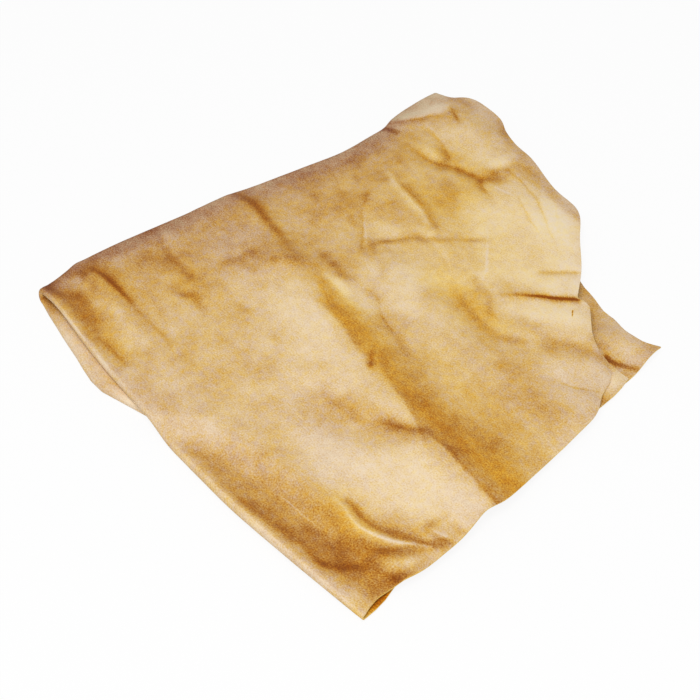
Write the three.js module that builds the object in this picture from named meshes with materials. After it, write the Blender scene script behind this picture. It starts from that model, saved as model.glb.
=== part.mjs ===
// Chamois leather: one oil-tanned skin, folded in four and laid down.
//
// Millimetres, +Z up. The skin is one unbroken sheet, and its flat pattern has its middle at (0, 0): u runs
// across the second fold, the spine, and v across the first fold, the front fold. Folding stacks the four
// quarters as leaves: the top leaf on the second leaf, and that pair on the third and the bottom leaf.
// Across the sheet from the folds, a leaf is drawn in plan: x away from the spine, y away from the front
// fold.
import * as THREE from "three";

// The leather
const THICKNESS = 1.0;
const LAYER_CLEARANCE = 0.7;

// How far the leaves reach along the folds. The two leaves of a pair share the front fold, the two outside
// leaves share the spine, and so do the two inside ones.
const UPPER_FRONT_LENGTH = 305;
const LOWER_FRONT_LENGTH = 288;
const OUTER_SPINE_LENGTH = 309;
const INNER_SPINE_LENGTH = 300;

// The two folds, as radii of the middle of the leather
const FRONT_BEND_RADIUS = 2.2;
const SPINE_SLACK = 0.4;
const SPINE_MARGIN = 32;
const SEAM_GAP = 0.3;

// How far from a fold its looseness is felt, and the bows of its edge
const FRONT_EASE = 20;
const SPINE_EASE = 60;
const FRONT_BOW_EASE = 70;
const SPINE_BOW_EASE = 15;

// The upper pair lies loose on the lower pair, away from the spine, and comes down to the surface over the
// drape where it runs past the lower pair's front fold
const LOFT = 1.5;
const LOFT_EASE = 22;
const DRAPE = 22;

// The share of the top leaf's waves that each leaf below takes up
const SECOND_LEAF_SHARE = 0.55;
const THIRD_LEAF_SHARE = 0.15;

const CHAMOIS = new THREE.MeshStandardMaterial({ color: 0xe3bd7c, roughness: 0.95, metalness: 0 });

// The cut edges of each leaf in plan, from the ends of its two folds to its corner, which is given as
// shares of the folds' lengths. far and side give how far each edge swells out of the straight line between
// its two ends, at shares of the way to the corner.
const TOP_LEAF = {
  front: UPPER_FRONT_LENGTH,
  spine: OUTER_SPINE_LENGTH,
  corner: [0.859, 0.699],
  far: [
    [0.04, 7], [0.065, 18], [0.115, 26], [0.19, 32], [0.245, 30], [0.3, 31], [0.375, 36], [0.475, 37],
    [0.57, 42], [0.65, 31], [0.725, 20], [0.78, 9], [0.83, 11], [0.88, 3], [0.94, 1.5],
  ],
  side: [
    [0.07, -1], [0.175, 5], [0.25, 8], [0.355, 9], [0.415, 9], [0.48, 12], [0.625, 12], [0.765, 12],
    [0.86, 12], [0.925, 6],
  ],
};
const SECOND_LEAF = {
  front: UPPER_FRONT_LENGTH,
  spine: INNER_SPINE_LENGTH,
  corner: [0.879, 0.74],
  far: [[0.15, 22], [0.3, 24], [0.445, 29], [0.56, 29], [0.67, 13], [0.76, -2], [0.89, -5]],
  side: [[0.17, -3], [0.325, -2], [0.46, 2], [0.67, 2], [0.85, 2]],
};
const THIRD_LEAF = {
  front: LOWER_FRONT_LENGTH,
  spine: INNER_SPINE_LENGTH,
  corner: [0.819, 0.713],
  far: [[0.255, 25], [0.465, 33], [0.635, 31], [0.785, 18], [0.9, 8]],
  side: [[0.235, 10], [0.465, 15], [0.7, 15], [0.89, 6]],
};
const BOTTOM_LEAF = {
  front: LOWER_FRONT_LENGTH,
  spine: OUTER_SPINE_LENGTH,
  corner: [0.917, 0.822],
  far: [[0.19, 10], [0.38, 8], [0.57, 6], [0.68, -6], [0.74, -9], [0.83, -10], [0.91, -11], [0.97, -6]],
  side: [[0.195, 4], [0.395, 4], [0.59, 3], [0.75, 2], [0.93, 2]],
};

// Bows of the folded edges, outwards where reach is positive: at is a share of the way along the fold, and
// spread how far along it the bow is felt.
const SPINE_BOWS = [
  { at: 0.016, spread: 22, reach: -4 },
  { at: 0.7, spread: 66, reach: -14 },
];
const TOP_FRONT_BOWS = [{ at: 0.64, spread: 80, reach: 8 }];
const BOTTOM_FRONT_BOWS = [
  { at: 0.282, spread: 36, reach: 14 },
  { at: 0.852, spread: 95, reach: -42 },
];

// The main waves of the top leaf. Each runs along a path of points, which are shares of the way along the
// front fold and along the spine with the rise there, and falls away over near on the front fold's side and
// over far on the other side.
const WAVES = {
  mainRidge: {
    path: [
      [0.27, 0.41, 3], [0.33, 0.41, 4.5], [0.505, 0.38, 6], [0.67, 0.345, 7], [0.87, 0.32, 7.5],
      [0.98, 0.315, 6.5],
    ],
    near: 42,
    far: 18,
  },
  dipInRidge: { path: [[0.56, 0.245, -1], [0.67, 0.26, -2.4], [0.735, 0.29, -2]], near: 14, far: 12 },
  spineRidge: { path: [[0, 0.44, 2.5], [0.07, 0.45, 3], [0.24, 0.42, 3]], near: 22, far: 9 },
  firstPleat: { path: [[0, 0.09, 1.5], [0.08, 0.095, 2.2], [0.295, 0.087, 0.8]], near: 11, far: 8 },
  frontFullness: { path: [[0.33, 0.07, 2], [0.46, 0.08, 2.4], [0.56, 0.085, 1.5]], near: 14, far: 30 },
  frontRoll: {
    path: [[0.54, -0.01, 1], [0.66, -0.01, 2.4], [0.8, -0.01, 3], [0.98, 0, 0.6]],
    near: 12,
    far: 12,
  },
  tailHump: { path: [[0.07, 0.98, 3], [0.2, 0.975, 4], [0.28, 0.97, 3.5]], near: 17, far: 14 },
  tailSwell: {
    path: [[0.33, 0.87, 2], [0.43, 0.9, 3], [0.52, 0.88, 3], [0.61, 0.8, 2]],
    near: 22,
    far: 22,
  },
  spineSwell: { path: [[0.2, 0.695, 1.2], [0.31, 0.7, 1.5], [0.43, 0.67, 1.2]], near: 18, far: 14 },
  middleSwell: { path: [[0.31, 0.54, 1.5], [0.46, 0.55, 2.4], [0.67, 0.52, 1.5]], near: 18, far: 16 },
  sidePleat: { path: [[0.59, 0.67, 0.6], [0.64, 0.735, 2], [0.69, 0.77, 2.6]], near: 9, far: 14 },
  cornerSwell: { path: [[0.67, 0.7, 1.5], [0.73, 0.73, 2.6], [0.79, 0.69, 2]], near: 20, far: 12 },
  sideSwell: { path: [[0.76, 0.57, 1], [0.885, 0.57, 2]], near: 20, far: 18 },
};
// The tongue of the bottom leaf that shows past the top leaf and curls off the surface
const TONGUE = { path: [[0.8, 0.777, 5], [0.87, 0.79, 6]], near: 11, far: 16 };

// Steps of the faceted surfaces: along the sides of a leaf, along the spine, round a bend, over the flat
// margin beside it, and between two points of a cut edge
const UPPER_STEPS = 22;
const LOWER_STEPS = 14;
const SPINE_STEPS = 14;
const BEND_STEPS = 6;
const MARGIN_STEPS = 3;
const EDGE_STEPS = 6;

const PITCH = THICKNESS + LAYER_CLEARANCE;
const SPINE_RADIUS = FRONT_BEND_RADIUS + PITCH / 2 + SPINE_SLACK;
const HALF_TURN = Math.PI / 2;
const SPINE_HALF = SPINE_RADIUS * HALF_TURN;
const FRONT_HALF = FRONT_BEND_RADIUS * HALF_TURN;

const { clamp, lerp } = THREE.MathUtils;
const bell = (distance, spread) => Math.exp(-((distance / spread) ** 2));

// A cut edge as a function of the place along it: a smooth line through its swellings, from its start at a
// fold to the leaf's corner.
function cutEdge(start, [length, end], swellings) {
  const points = [[0, 0], ...swellings, [1, 0]].map(
    ([share, out]) => new THREE.Vector2(share * length, lerp(start, end, share) + out),
  );
  const fine = new THREE.SplineCurve(points).getPoints(points.length * EDGE_STEPS);
  return (place) => {
    const next = clamp(fine.findIndex((p) => p.x >= place), 1, fine.length - 1);
    const [p, q] = [fine[next - 1], fine[next]];
    return lerp(p.y, q.y, clamp((place - p.x) / (q.x - p.x), 0, 1));
  };
}
const cornerOf = ({ front, spine, corner: [along, up] }) => [along * front, up * spine];
const farEdge = (outline) => cutEdge(outline.spine, cornerOf(outline), outline.far);
const sideEdge = (outline) => cutEdge(outline.front, cornerOf(outline).reverse(), outline.side);

// How far a folded edge of some length bows outwards at a place along it.
function bow(bows, length, place) {
  return bows.reduce((sum, { at, spread, reach }) => sum + reach * bell(place - at * length, spread), 0);
}

// The height of one wave at a point: its rise on the path, a bell across it that is narrower on one side,
// and a bell past each of its ends.
function waveHeight({ path, near, far }, x, y) {
  const place = ([front, spine, rise]) => [front * UPPER_FRONT_LENGTH, spine * OUTER_SPINE_LENGTH, rise];
  const knots = path.map(place);
  let nearest = Infinity;
  let height = 0;
  for (let i = 1; i < knots.length; i++) {
    const [[ax, ay, aRise], [bx, by, bRise]] = [knots[i - 1], knots[i]];
    const length = Math.hypot(bx - ax, by - ay);
    const [alongX, alongY] = [(bx - ax) / length, (by - ay) / length];
    const ahead = (x - ax) * alongX + (y - ay) * alongY;
    const across = alongX * (y - ay) - alongY * (x - ax);
    const held = clamp(ahead, 0, length);
    const distance = Math.hypot(across, ahead - held);
    if (distance < nearest) {
      nearest = distance;
      const pastEnd = (i === 1 && ahead < 0) || (i === knots.length - 1 && ahead > length);
      const spread = across > 0 ? far : near;
      const ended = bell(across, spread) * bell(ahead - held, (near + far) / 2);
      height = lerp(aRise, bRise, held / length) * (pastEnd ? ended : bell(distance, spread));
    }
  }
  return height;
}

// A smooth step from 0 to 1 over the unit range.
const ease = (value) => THREE.MathUtils.smoothstep(value, 0, 1);

// Half the distance between the two leaves of a pair, wide in their common bend and close away from it.
const halfGapAt = (y) => lerp(PITCH / 2, FRONT_BEND_RADIUS, bell(y, FRONT_EASE));

// The middle of the leather at a point of the flat pattern, once both folds are made.
function foldedPoint(u, v) {
  // First fold: the front. lift is the distance from the middle of the pair, outwards.
  const y = Math.max(Math.abs(v) - FRONT_HALF, 0);
  const frontTurn = clamp(v / FRONT_BEND_RADIUS, -HALF_TURN, HALF_TURN);
  const halfGap = halfGapAt(y);
  const lift = halfGap * Math.sin(frontTurn);

  // Second fold: the spine. The pair turns over about a line that lies at the height of its own bend.
  const x = Math.max(Math.abs(u) - SPINE_HALF, 0);
  const spineTurn = clamp(u / SPINE_RADIUS, -HALF_TURN, HALF_TURN);
  const radius = SPINE_RADIUS + lift;
  const bendHeight = THICKNESS / 2 + halfGap + SPINE_RADIUS;

  // Which leaf this is: top is 1 on the upper pair, and outer is 1 on the top and the bottom leaf.
  const top = (1 + Math.sin(spineTurn)) / 2;
  const outer = (1 + Math.sin(frontTurn)) / 2;

  // The upper pair comes down onto the lower pair, and past the lower pair's front fold onto the surface.
  const bowEase = bell(y, FRONT_BOW_EASE);
  const lowerBow = bow(BOTTOM_FRONT_BOWS, UPPER_FRONT_LENGTH, x);
  const upperBow = bow(TOP_FRONT_BOWS, UPPER_FRONT_LENGTH, x);
  const behind = y + (lowerBow - upperBow) * bowEase;
  const stack = 2 * halfGapAt(Math.max(behind, 0)) + PITCH;
  const restHeight = THICKNESS / 2 + stack * ease((behind + DRAPE) / DRAPE) + halfGap;
  const settle = (bendHeight + SPINE_RADIUS - restHeight) * (1 - bell(x, SPINE_EASE));

  const share = lerp(THIRD_LEAF_SHARE * (1 - outer), lerp(SECOND_LEAF_SHARE, 1, outer), top);
  const loft = LOFT * (1 - bell(x, LOFT_EASE));
  const wave = Object.values(WAVES).reduce((sum, shape) => sum + waveHeight(shape, x, y), loft);
  const tongue = (1 - top) * outer * waveHeight(TONGUE, x, y);

  return new THREE.Vector3(
    x - radius * Math.cos(spineTurn) - bow(SPINE_BOWS, OUTER_SPINE_LENGTH, y) * bell(x, SPINE_BOW_EASE),
    y - FRONT_BEND_RADIUS * Math.cos(frontTurn) - lerp(lowerBow, upperBow, top) * bowEase,
    bendHeight + radius * Math.sin(spineTurn) - top * settle + share * wave + tongue,
  );
}

// The outward direction of the folded leather, across its thickness.
function foldedNormal(u, v) {
  const step = 0.05;
  const across = foldedPoint(u + step, v).sub(foldedPoint(u - step, v));
  const along = foldedPoint(u, v + step).sub(foldedPoint(u, v - step));
  return across.cross(along).normalize();
}

// A closed solid of leather from a patch of the flat pattern: pattern(s, t) gives u and v.
function leatherPatch(name, pattern, sStops, tStops) {
  const columns = sStops.length;
  const position = [];
  for (const face of [1, -1]) {
    for (const t of tStops) {
      for (const s of sStops) {
        const [u, v] = pattern(s, t);
        const point = foldedPoint(u, v).addScaledVector(foldedNormal(u, v), (face * THICKNESS) / 2);
        position.push(...point.toArray());
      }
    }
  }
  const under = columns * tStops.length;
  const at = (column, row) => row * columns + column;
  const index = [];
  const quad = (a, b, c, d) => index.push(a, b, c, a, c, d);
  for (let row = 0; row + 1 < tStops.length; row++) {
    for (let column = 0; column + 1 < columns; column++) {
      const ring = [at(column, row), at(column + 1, row), at(column + 1, row + 1), at(column, row + 1)];
      quad(...ring);
      quad(...ring.map((i) => i + under).reverse());
    }
  }
  const rim = (a, b) => quad(a, a + under, b + under, b);
  const [lastColumn, lastRow] = [columns - 1, tStops.length - 1];
  for (let column = 0; column < lastColumn; column++) {
    rim(at(column, 0), at(column + 1, 0));
    rim(at(column + 1, lastRow), at(column, lastRow));
  }
  for (let row = 0; row < lastRow; row++) {
    rim(at(lastColumn, row), at(lastColumn, row + 1));
    rim(at(0, row + 1), at(0, row));
  }
  const geometry = new THREE.BufferGeometry();
  geometry.setAttribute("position", new THREE.Float32BufferAttribute(position, 3));
  geometry.setIndex(index);
  geometry.computeVertexNormals();
  const mesh = new THREE.Mesh(geometry, CHAMOIS.clone());
  mesh.name = name;
  return mesh;
}

const evenStops = (steps) => Array.from({ length: steps + 1 }, (_, i) => i / steps);

// The flat pattern reaches further than the plan by the leather that lies in each bend.
const LEAF_START = SPINE_MARGIN + SEAM_GAP / 2;
const FRONT_START = SEAM_GAP / 2;

// One leaf, spread between its two cut edges and the straight lines where its folds begin.
function leaf(name, outline, spineSide, frontSide, steps) {
  const farY = farEdge(outline);
  const sideX = sideEdge(outline);
  const [cornerX, cornerY] = cornerOf(outline);
  const pattern = (s, t) => {
    const topX = lerp(LEAF_START, cornerX, s);
    const sideY = lerp(FRONT_START, cornerY, t);
    const frontX = lerp(LEAF_START, sideX(FRONT_START), s);
    const spineY = lerp(FRONT_START, farY(LEAF_START), t);
    const x = lerp(frontX, topX, t) + s * (sideX(sideY) - lerp(sideX(FRONT_START), cornerX, t));
    const y = lerp(spineY, sideY, s) + t * (farY(topX) - lerp(farY(LEAF_START), cornerY, s));
    return [spineSide * (x + SPINE_HALF), frontSide * (y + FRONT_HALF)];
  };
  const stops = evenStops(steps);
  const ordered = (sign) => (sign > 0 ? stops : [...stops].reverse());
  return leatherPatch(name, pattern, ordered(spineSide), ordered(frontSide));
}

// Stops from one end of a bend to the other: two flat margins in a few steps, and the bend itself in more.
function bendStops(margin, half) {
  const full = margin + half;
  const flat = Array.from({ length: MARGIN_STEPS }, (_, i) => lerp(full, half, i / MARGIN_STEPS));
  const turn = Array.from({ length: BEND_STEPS + 1 }, (_, i) => lerp(half, -half, i / BEND_STEPS));
  return [...flat, ...turn, ...flat.map((place) => -place).reverse()].reverse();
}

// A strip over the front fold, from one leaf of a pair to the other.
function frontFold(name, outerLeaf, innerLeaf, spineSide, steps) {
  const half = FRONT_HALF - FRONT_START;
  const outerReach = sideEdge(outerLeaf)(FRONT_START);
  const innerReach = sideEdge(innerLeaf)(FRONT_START);
  const pattern = (s, t) => {
    const reach = lerp(innerReach, outerReach, (1 + t / half) / 2);
    return [spineSide * (SPINE_HALF + lerp(LEAF_START, reach, s)), t];
  };
  const alongFold = evenStops(steps);
  return leatherPatch(
    name,
    pattern,
    spineSide > 0 ? alongFold : alongFold.reverse(),
    Array.from({ length: BEND_STEPS + 1 }, (_, i) => lerp(-half, half, i / BEND_STEPS)),
  );
}

// A strip over the spine, from a leaf of the upper pair to the leaf of the lower pair that it runs on into.
function spineFold(name, upperLeaf, lowerLeaf, frontSide) {
  const upperFar = farEdge(upperLeaf);
  const lowerFar = farEdge(lowerLeaf);
  const reach = (u) => {
    const x = Math.max(Math.abs(u) - SPINE_HALF, 0);
    const share = (1 + clamp(u / SPINE_HALF, -1, 1)) / 2;
    return lerp(lowerFar(x), upperFar(x), share);
  };
  const pattern = (s, t) => [s, frontSide * (FRONT_HALF + lerp(FRONT_START, reach(s), t))];
  const alongFold = evenStops(SPINE_STEPS);
  return leatherPatch(
    name,
    pattern,
    bendStops(SPINE_MARGIN - SEAM_GAP / 2, SPINE_HALF),
    frontSide > 0 ? alongFold : alongFold.reverse(),
  );
}

// The middle of the skin, where the front fold itself is turned over at the spine.
function middleCorner(name) {
  const half = FRONT_HALF - SEAM_GAP / 2;
  const round = Array.from({ length: BEND_STEPS + 1 }, (_, i) => lerp(-half, half, i / BEND_STEPS));
  return leatherPatch(name, (s, t) => [s, t], bendStops(SPINE_MARGIN - SEAM_GAP / 2, SPINE_HALF), round);
}

const skin = new THREE.Group();
skin.add(
  leaf("top_leaf", TOP_LEAF, 1, 1, UPPER_STEPS),
  leaf("second_leaf", SECOND_LEAF, 1, -1, UPPER_STEPS),
  leaf("third_leaf", THIRD_LEAF, -1, -1, LOWER_STEPS),
  leaf("bottom_leaf", BOTTOM_LEAF, -1, 1, LOWER_STEPS),
  frontFold("upper_front_fold", TOP_LEAF, SECOND_LEAF, 1, UPPER_STEPS),
  frontFold("lower_front_fold", BOTTOM_LEAF, THIRD_LEAF, -1, LOWER_STEPS),
  spineFold("outer_spine_fold", TOP_LEAF, BOTTOM_LEAF, 1),
  spineFold("inner_spine_fold", SECOND_LEAF, THIRD_LEAF, -1),
  middleCorner("middle_corner"),
);

// The part's origin is under the middle of the folded skin, on the surface that it lies on.
const middle = new THREE.Box3().setFromObject(skin).getCenter(new THREE.Vector3());
skin.position.set(-middle.x, -middle.y, 0);

const chamois = new THREE.Group();
chamois.add(skin);

export default chamois;
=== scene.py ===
"""The looks of a chamois leather: one skin, folded in four, with its napped surface, waves and cut edges.

The skin is modelled as one unbroken sheet. Its grid is laid out flat and then folded twice. Plan sizes are in
millimetres from the middle of the skin, which lies at the left corner of the folded stack: x runs along the
front fold and y along the spine.
"""
import logging
import math
from dataclasses import dataclass, field
from enum import Enum

import bmesh
import bpy
import numpy as np
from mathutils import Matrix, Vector, noise


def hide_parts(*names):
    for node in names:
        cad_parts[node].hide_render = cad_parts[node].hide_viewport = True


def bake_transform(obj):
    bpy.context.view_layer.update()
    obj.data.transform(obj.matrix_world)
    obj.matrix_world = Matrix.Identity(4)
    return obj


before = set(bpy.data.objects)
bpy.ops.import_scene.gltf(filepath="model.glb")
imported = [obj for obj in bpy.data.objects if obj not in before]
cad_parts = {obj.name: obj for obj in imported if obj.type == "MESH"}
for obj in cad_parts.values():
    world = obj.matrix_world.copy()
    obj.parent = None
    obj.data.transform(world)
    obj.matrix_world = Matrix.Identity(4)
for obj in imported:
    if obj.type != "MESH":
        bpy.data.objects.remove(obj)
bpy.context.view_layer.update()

LOG = logging.getLogger("chamois")
MM = 0.001
QUARTER_TURN = math.pi / 2
# Where the photograph was taken from: round from the front, and up
VIEW_TURN = math.radians(51.244)
VIEW_RISE = math.radians(44.5)
# The middle of the skin in the part's frame, in metres
SKIN_MIDDLE = Vector((-0.15013, -0.15465, 0.0))
# How many short pieces a stretch of a mark and of a cut edge is drawn with
LINE_STEPS = 5
EDGE_STEPS = 6
# How many spreads away a stroke is felt
STROKE_REACH = 5
# A step in millimetres that is too short to matter
TINY = 1e-6
Points = tuple[tuple[float, ...], ...]
Triple = tuple[float, float, float]


def bell(distance: np.ndarray, spread: float | np.ndarray) -> np.ndarray:
    """A smooth hump: 1 at no distance, falling to 0 over a few spreads."""
    return np.exp(-np.square(distance / spread))


def mix(low: np.ndarray, high: np.ndarray, share: np.ndarray) -> np.ndarray:
    """The value a share of the way from low to high."""
    return low + (high - low) * share


def ease(value: np.ndarray) -> np.ndarray:
    """A smooth step from 0 to 1 over the unit range."""
    held = np.clip(value, 0.0, 1.0)
    return held * held * (3.0 - 2.0 * held)


def smooth_path(points: Points, steps: int) -> np.ndarray:
    """A smooth line through points, as a finer list of points.

    Args:
        points: the points that the line passes through, of any number of coordinates.
        steps: how many short pieces each stretch between two points is cut into.

    Returns:
        The finer points, one to a row.
    """
    knots = np.array(points, float)
    before = np.vstack([2 * knots[0] - knots[1], knots[:-1]])
    after = np.vstack([knots[1:], 2 * knots[-1] - knots[-2]])
    slopes = (after - before) / 2
    share = np.linspace(0.0, 1.0, steps, endpoint=False)[:, None]
    leaving = share * np.square(1 - share)
    arriving = np.square(share) * (share - 1)
    pieces = [
        mix(a, b, ease(share)) + slope_a * leaving + slope_b * arriving
        for a, b, slope_a, slope_b in zip(knots[:-1], knots[1:], slopes[:-1], slopes[1:])
    ]
    return np.vstack(pieces + [knots[-1:]])


def along(path: Points, place: np.ndarray) -> np.ndarray:
    """The height of a smooth path over places along it."""
    over, up = smooth_path(path, LINE_STEPS).T
    return np.interp(place, over, up)


class Layer(Enum):
    """The four quarters of the skin, from the top of the stack down."""

    TOP = "top"
    SECOND = "second"
    THIRD = "third"
    BOTTOM = "bottom"


class Place(Enum):
    """The parts of the folded skin that have marks of their own."""

    TOP = "the leaf in view"
    SECOND = "the leaf under it"
    INSIDE = "the two leaves inside the stack"
    BOTTOM = "the leaf on the floor"
    LOWER = "the lower pair of leaves"


@dataclass(frozen=True)
class Stroke:
    """A soft stroke along a line of the folded skin: a ridge or valley, or a lighter or darker mark.

    Each point of the line is x, y and the value there. The stroke fades over near on the right of the line,
    and over far on its left. A low power leaves a sharp crest, which is rounded over crest.
    """

    line: Points
    near: float
    far: float
    power: float = 2.0
    crest: float = 0.8

    def close_to(self, x: np.ndarray, y: np.ndarray) -> np.ndarray:
        """Which plan points are near enough for the stroke to matter.

        Args:
            x: distance from the spine.
            y: distance from the front fold.

        Returns:
            True at each point that the stroke can reach.
        """
        knots = np.array(self.line)[:, :2]
        reach = STROKE_REACH * max(self.near, self.far)
        low, high = knots.min(axis=0) - reach, knots.max(axis=0) + reach
        return (x > low[0]) & (x < high[0]) & (y > low[1]) & (y < high[1])

    def measured(self, x: np.ndarray, y: np.ndarray) -> tuple[np.ndarray, np.ndarray, np.ndarray]:
        """Where plan points lie from the line.

        Args:
            x: distance from the spine.
            y: distance from the front fold.

        Returns:
            The distance across the line, above 0 on its left; the distance past its ends; and its value.
        """
        line = smooth_path(self.line, LINE_STEPS)
        nearest = np.full(x.shape, np.inf)
        across, beyond, value = (np.zeros(x.shape) for _ in range(3))
        last = len(line) - 2
        for index, (a, b) in enumerate(zip(line[:-1], line[1:])):
            run = b[:2] - a[:2]
            length = np.hypot(*run)
            ahead = ((x - a[0]) * run[0] + (y - a[1]) * run[1]) / length
            side = (run[0] * (y - a[1]) - run[1] * (x - a[0])) / length
            held = np.clip(ahead, 0.0, length)
            over = ahead - held
            distance = np.hypot(side, over)
            closer = distance < nearest
            nearest = np.where(closer, distance, nearest)
            at_end = ((index == 0) & (over < 0)) | ((index == last) & (over > 0))
            across = np.where(closer, np.where(at_end, side, np.sign(side) * distance), across)
            beyond = np.where(closer, np.where(at_end, over, 0.0), beyond)
            value = np.where(closer, mix(a[2], b[2], held / length), value)
        return across, beyond, value

    def at(self, x: np.ndarray, y: np.ndarray) -> np.ndarray:
        """The stroke's value at plan points.

        Args:
            x: distance from the spine.
            y: distance from the front fold.

        Returns:
            The value at each point, 0 well away from the line.
        """
        close = self.close_to(x, y)
        across, beyond, value = self.measured(x[close], y[close])
        spread = np.where(across > 0, self.far, self.near)
        rounded = np.sqrt(np.square(across) + self.crest ** 2) - self.crest
        profile = np.exp(-np.power(rounded / spread, self.power))
        result = np.zeros(x.shape)
        result[close] = value * profile * bell(beyond, (self.near + self.far) / 2)
        return result


def blotches(value: float, *marks: tuple[float, ...]) -> tuple[Stroke, ...]:
    """Short soft marks of one strength.

    Args:
        value: their strength.
        marks: x and y of the two ends of each mark, and how far it fades.

    Returns:
        The marks as strokes.
    """
    return tuple(
        Stroke(((x, y, value), (to_x, to_y, value)), spread, spread) for x, y, to_x, to_y, spread in marks
    )


def painted(strokes: tuple[Stroke, ...], x: np.ndarray, y: np.ndarray) -> np.ndarray:
    """The sum of strokes at plan points."""
    return sum((stroke.at(x, y) for stroke in strokes), np.zeros(x.shape))


def thin_lines(strokes: tuple[Stroke, ...], x: np.ndarray, y: np.ndarray) -> tuple[np.ndarray, np.ndarray]:
    """The strongest of a set of thin lines at plan points.

    Args:
        strokes: the lines, each with its half width as near.
        x: distance from the spine.
        y: distance from the front fold.

    Returns:
        How far across its line each point lies, in half widths, and how strong the line is there.
    """
    across, strength = np.zeros(x.shape), np.zeros(x.shape)
    for stroke in strokes:
        close = stroke.close_to(x, y)
        side, beyond, value = stroke.measured(x[close], y[close])
        here = value * bell(beyond, stroke.far) * bell(side, stroke.far)
        stronger = here > strength[close]
        across[close] = np.where(stronger, side / stroke.near, across[close])
        strength[close] = np.where(stronger, here, strength[close])
    return across, strength


@dataclass(frozen=True)
class Leaf:
    """One quarter of the skin, by its two cut edges.

    far runs from the spine to the leaf's corner as y over x, and side from the front fold to that corner as
    x over y.
    """

    far: Points
    side: Points

    def plan(self, s: np.ndarray, t: np.ndarray) -> tuple[np.ndarray, np.ndarray]:
        """Where the points of a unit square lie on the leaf.

        Args:
            s: share of the way from the spine to the side edge.
            t: share of the way from the front fold to the far edge.

        Returns:
            x and y of each point.
        """
        far_x, far_y = smooth_path(self.far, EDGE_STEPS).T
        side_y, side_x = smooth_path(self.side, EDGE_STEPS).T
        corner_x, corner_y = self.far[-1]
        x = s * np.interp(t * corner_y, side_y, side_x)
        y = t * np.interp(s * corner_x, far_x, far_y)
        return x, y


LEAVES: dict[Layer, Leaf] = {
    Layer.TOP: Leaf(
        far=(
            (0, 309), (10, 313), (17, 321), (30, 324), (50, 323), (64, 316), (78, 312), (98, 310),
            (125, 302), (150, 298), (171, 279), (190, 262), (203, 247), (207, 242.5), (211, 243.5),
            (215, 243.8), (219, 241), (224, 236.5), (234, 228), (244, 222.5), (253, 219.5), (262, 216),
        ),
        side=(
            (0, 305), (7, 302.5), (15, 301), (25, 301.5), (38, 303), (54, 302), (66, 301), (77, 299),
            (90, 296), (104, 296.5), (135, 290), (165, 284.5), (186, 280), (200, 271), (211, 266), (216, 262),
        ),
    ),
    Layer.SECOND: Leaf(
        far=(
            (0, 302), (40, 312), (80, 302), (120, 296), (150, 287), (180, 262), (205, 240), (240, 226),
            (256, 221), (269, 223),
        ),
        side=(
            (0, 305), (8, 304), (17, 302), (27, 299), (38, 295), (72, 291), (102, 290), (150, 283),
            (190, 276), (210, 273), (223, 269),
        ),
    ),
    Layer.THIRD: Leaf(
        far=((0, 298), (60, 302), (110, 292), (150, 276), (185, 250), (212, 230), (236, 214)),
        side=((0, 286), (50, 284), (100, 278), (150, 266), (190, 248), (214, 236)),
    ),
    Layer.BOTTOM: Leaf(
        far=(
            (0, 304), (50, 309), (100, 296), (150, 284), (180, 266), (196, 259), (206, 257), (219, 253),
            (229, 252), (240, 248), (247, 248), (256, 249), (264, 254),
        ),
        side=(
            (0, 290), (50, 287), (100, 283), (150, 277), (190, 272.5), (215, 269.5), (236, 267.5), (254, 264),
        ),
    ),
}

SWELLS: tuple[Stroke, ...] = (
    # The main ridge, from the spine across the middle to the side edge
    Stroke(((0, 136, 2), (22, 140, 2.4), (46, 136, 2.6), (72, 129, 3)), 22, 11, 1.3),
    Stroke(((82, 127, 3), (100, 127, 4.3), (124, 121, 5.3), (154, 118, 5.8), (204, 107, 6.8),
            (235, 98, 7.2), (266, 100, 7.2), (299, 97, 6.3)), 42, 24, 1.3),
    # The pleats that come off the spine, and the hollow between the first one and the front roll
    Stroke(((0, 28, 1.5), (25, 29, 2.2), (45, 28, 2), (90, 27, 0.8)), 9, 7, 1.2),
    Stroke(((2, 10, -1.5), (20, 12, -1.8), (45, 9, -1.5), (85, 7, -0.8)), 6, 8),
    # The fullness along the front, and the roll and the hollow behind it at the side edge
    Stroke(((100, 22, 2), (140, 24, 2.4), (170, 26, 1.5)), 14, 30),
    Stroke(((165, -4, 1), (200, -5, 2.4), (245, -3, 3), (275, -2, 2.2), (300, -1, 0.4)), 9, 9),
    Stroke(((2, 0, 1.6), (11, 0, 2.4), (22, 0, 1.4), (50, 0, 0)), 5, 6),
    # The dip that runs up into the main ridge
    Stroke(((172, 76, -1.5), (205, 80, -2.8), (224, 90, -2.5)), 13, 10),
    # The hump by the tail, and the swells of the far half
    Stroke(((22, 302, 3), (40, 300, 3.5), (62, 302, 4), (86, 299, 3.5)), 17, 14),
    Stroke(((100, 268, 2), (130, 278, 3), (160, 272, 3), (186, 248, 2)), 22, 22),
    Stroke(((60, 215, 1.2), (95, 216, 1.5), (130, 208, 1.2)), 18, 14),
    Stroke(((95, 168, 1.5), (140, 170, 2.4), (205, 160, 1.5)), 18, 16),
    Stroke(((205, 216, 1.5), (222, 226, 2.6), (242, 214, 2)), 20, 12),
    Stroke(((232, 176, 1), (270, 176, 2)), 20, 18),
)
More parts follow.
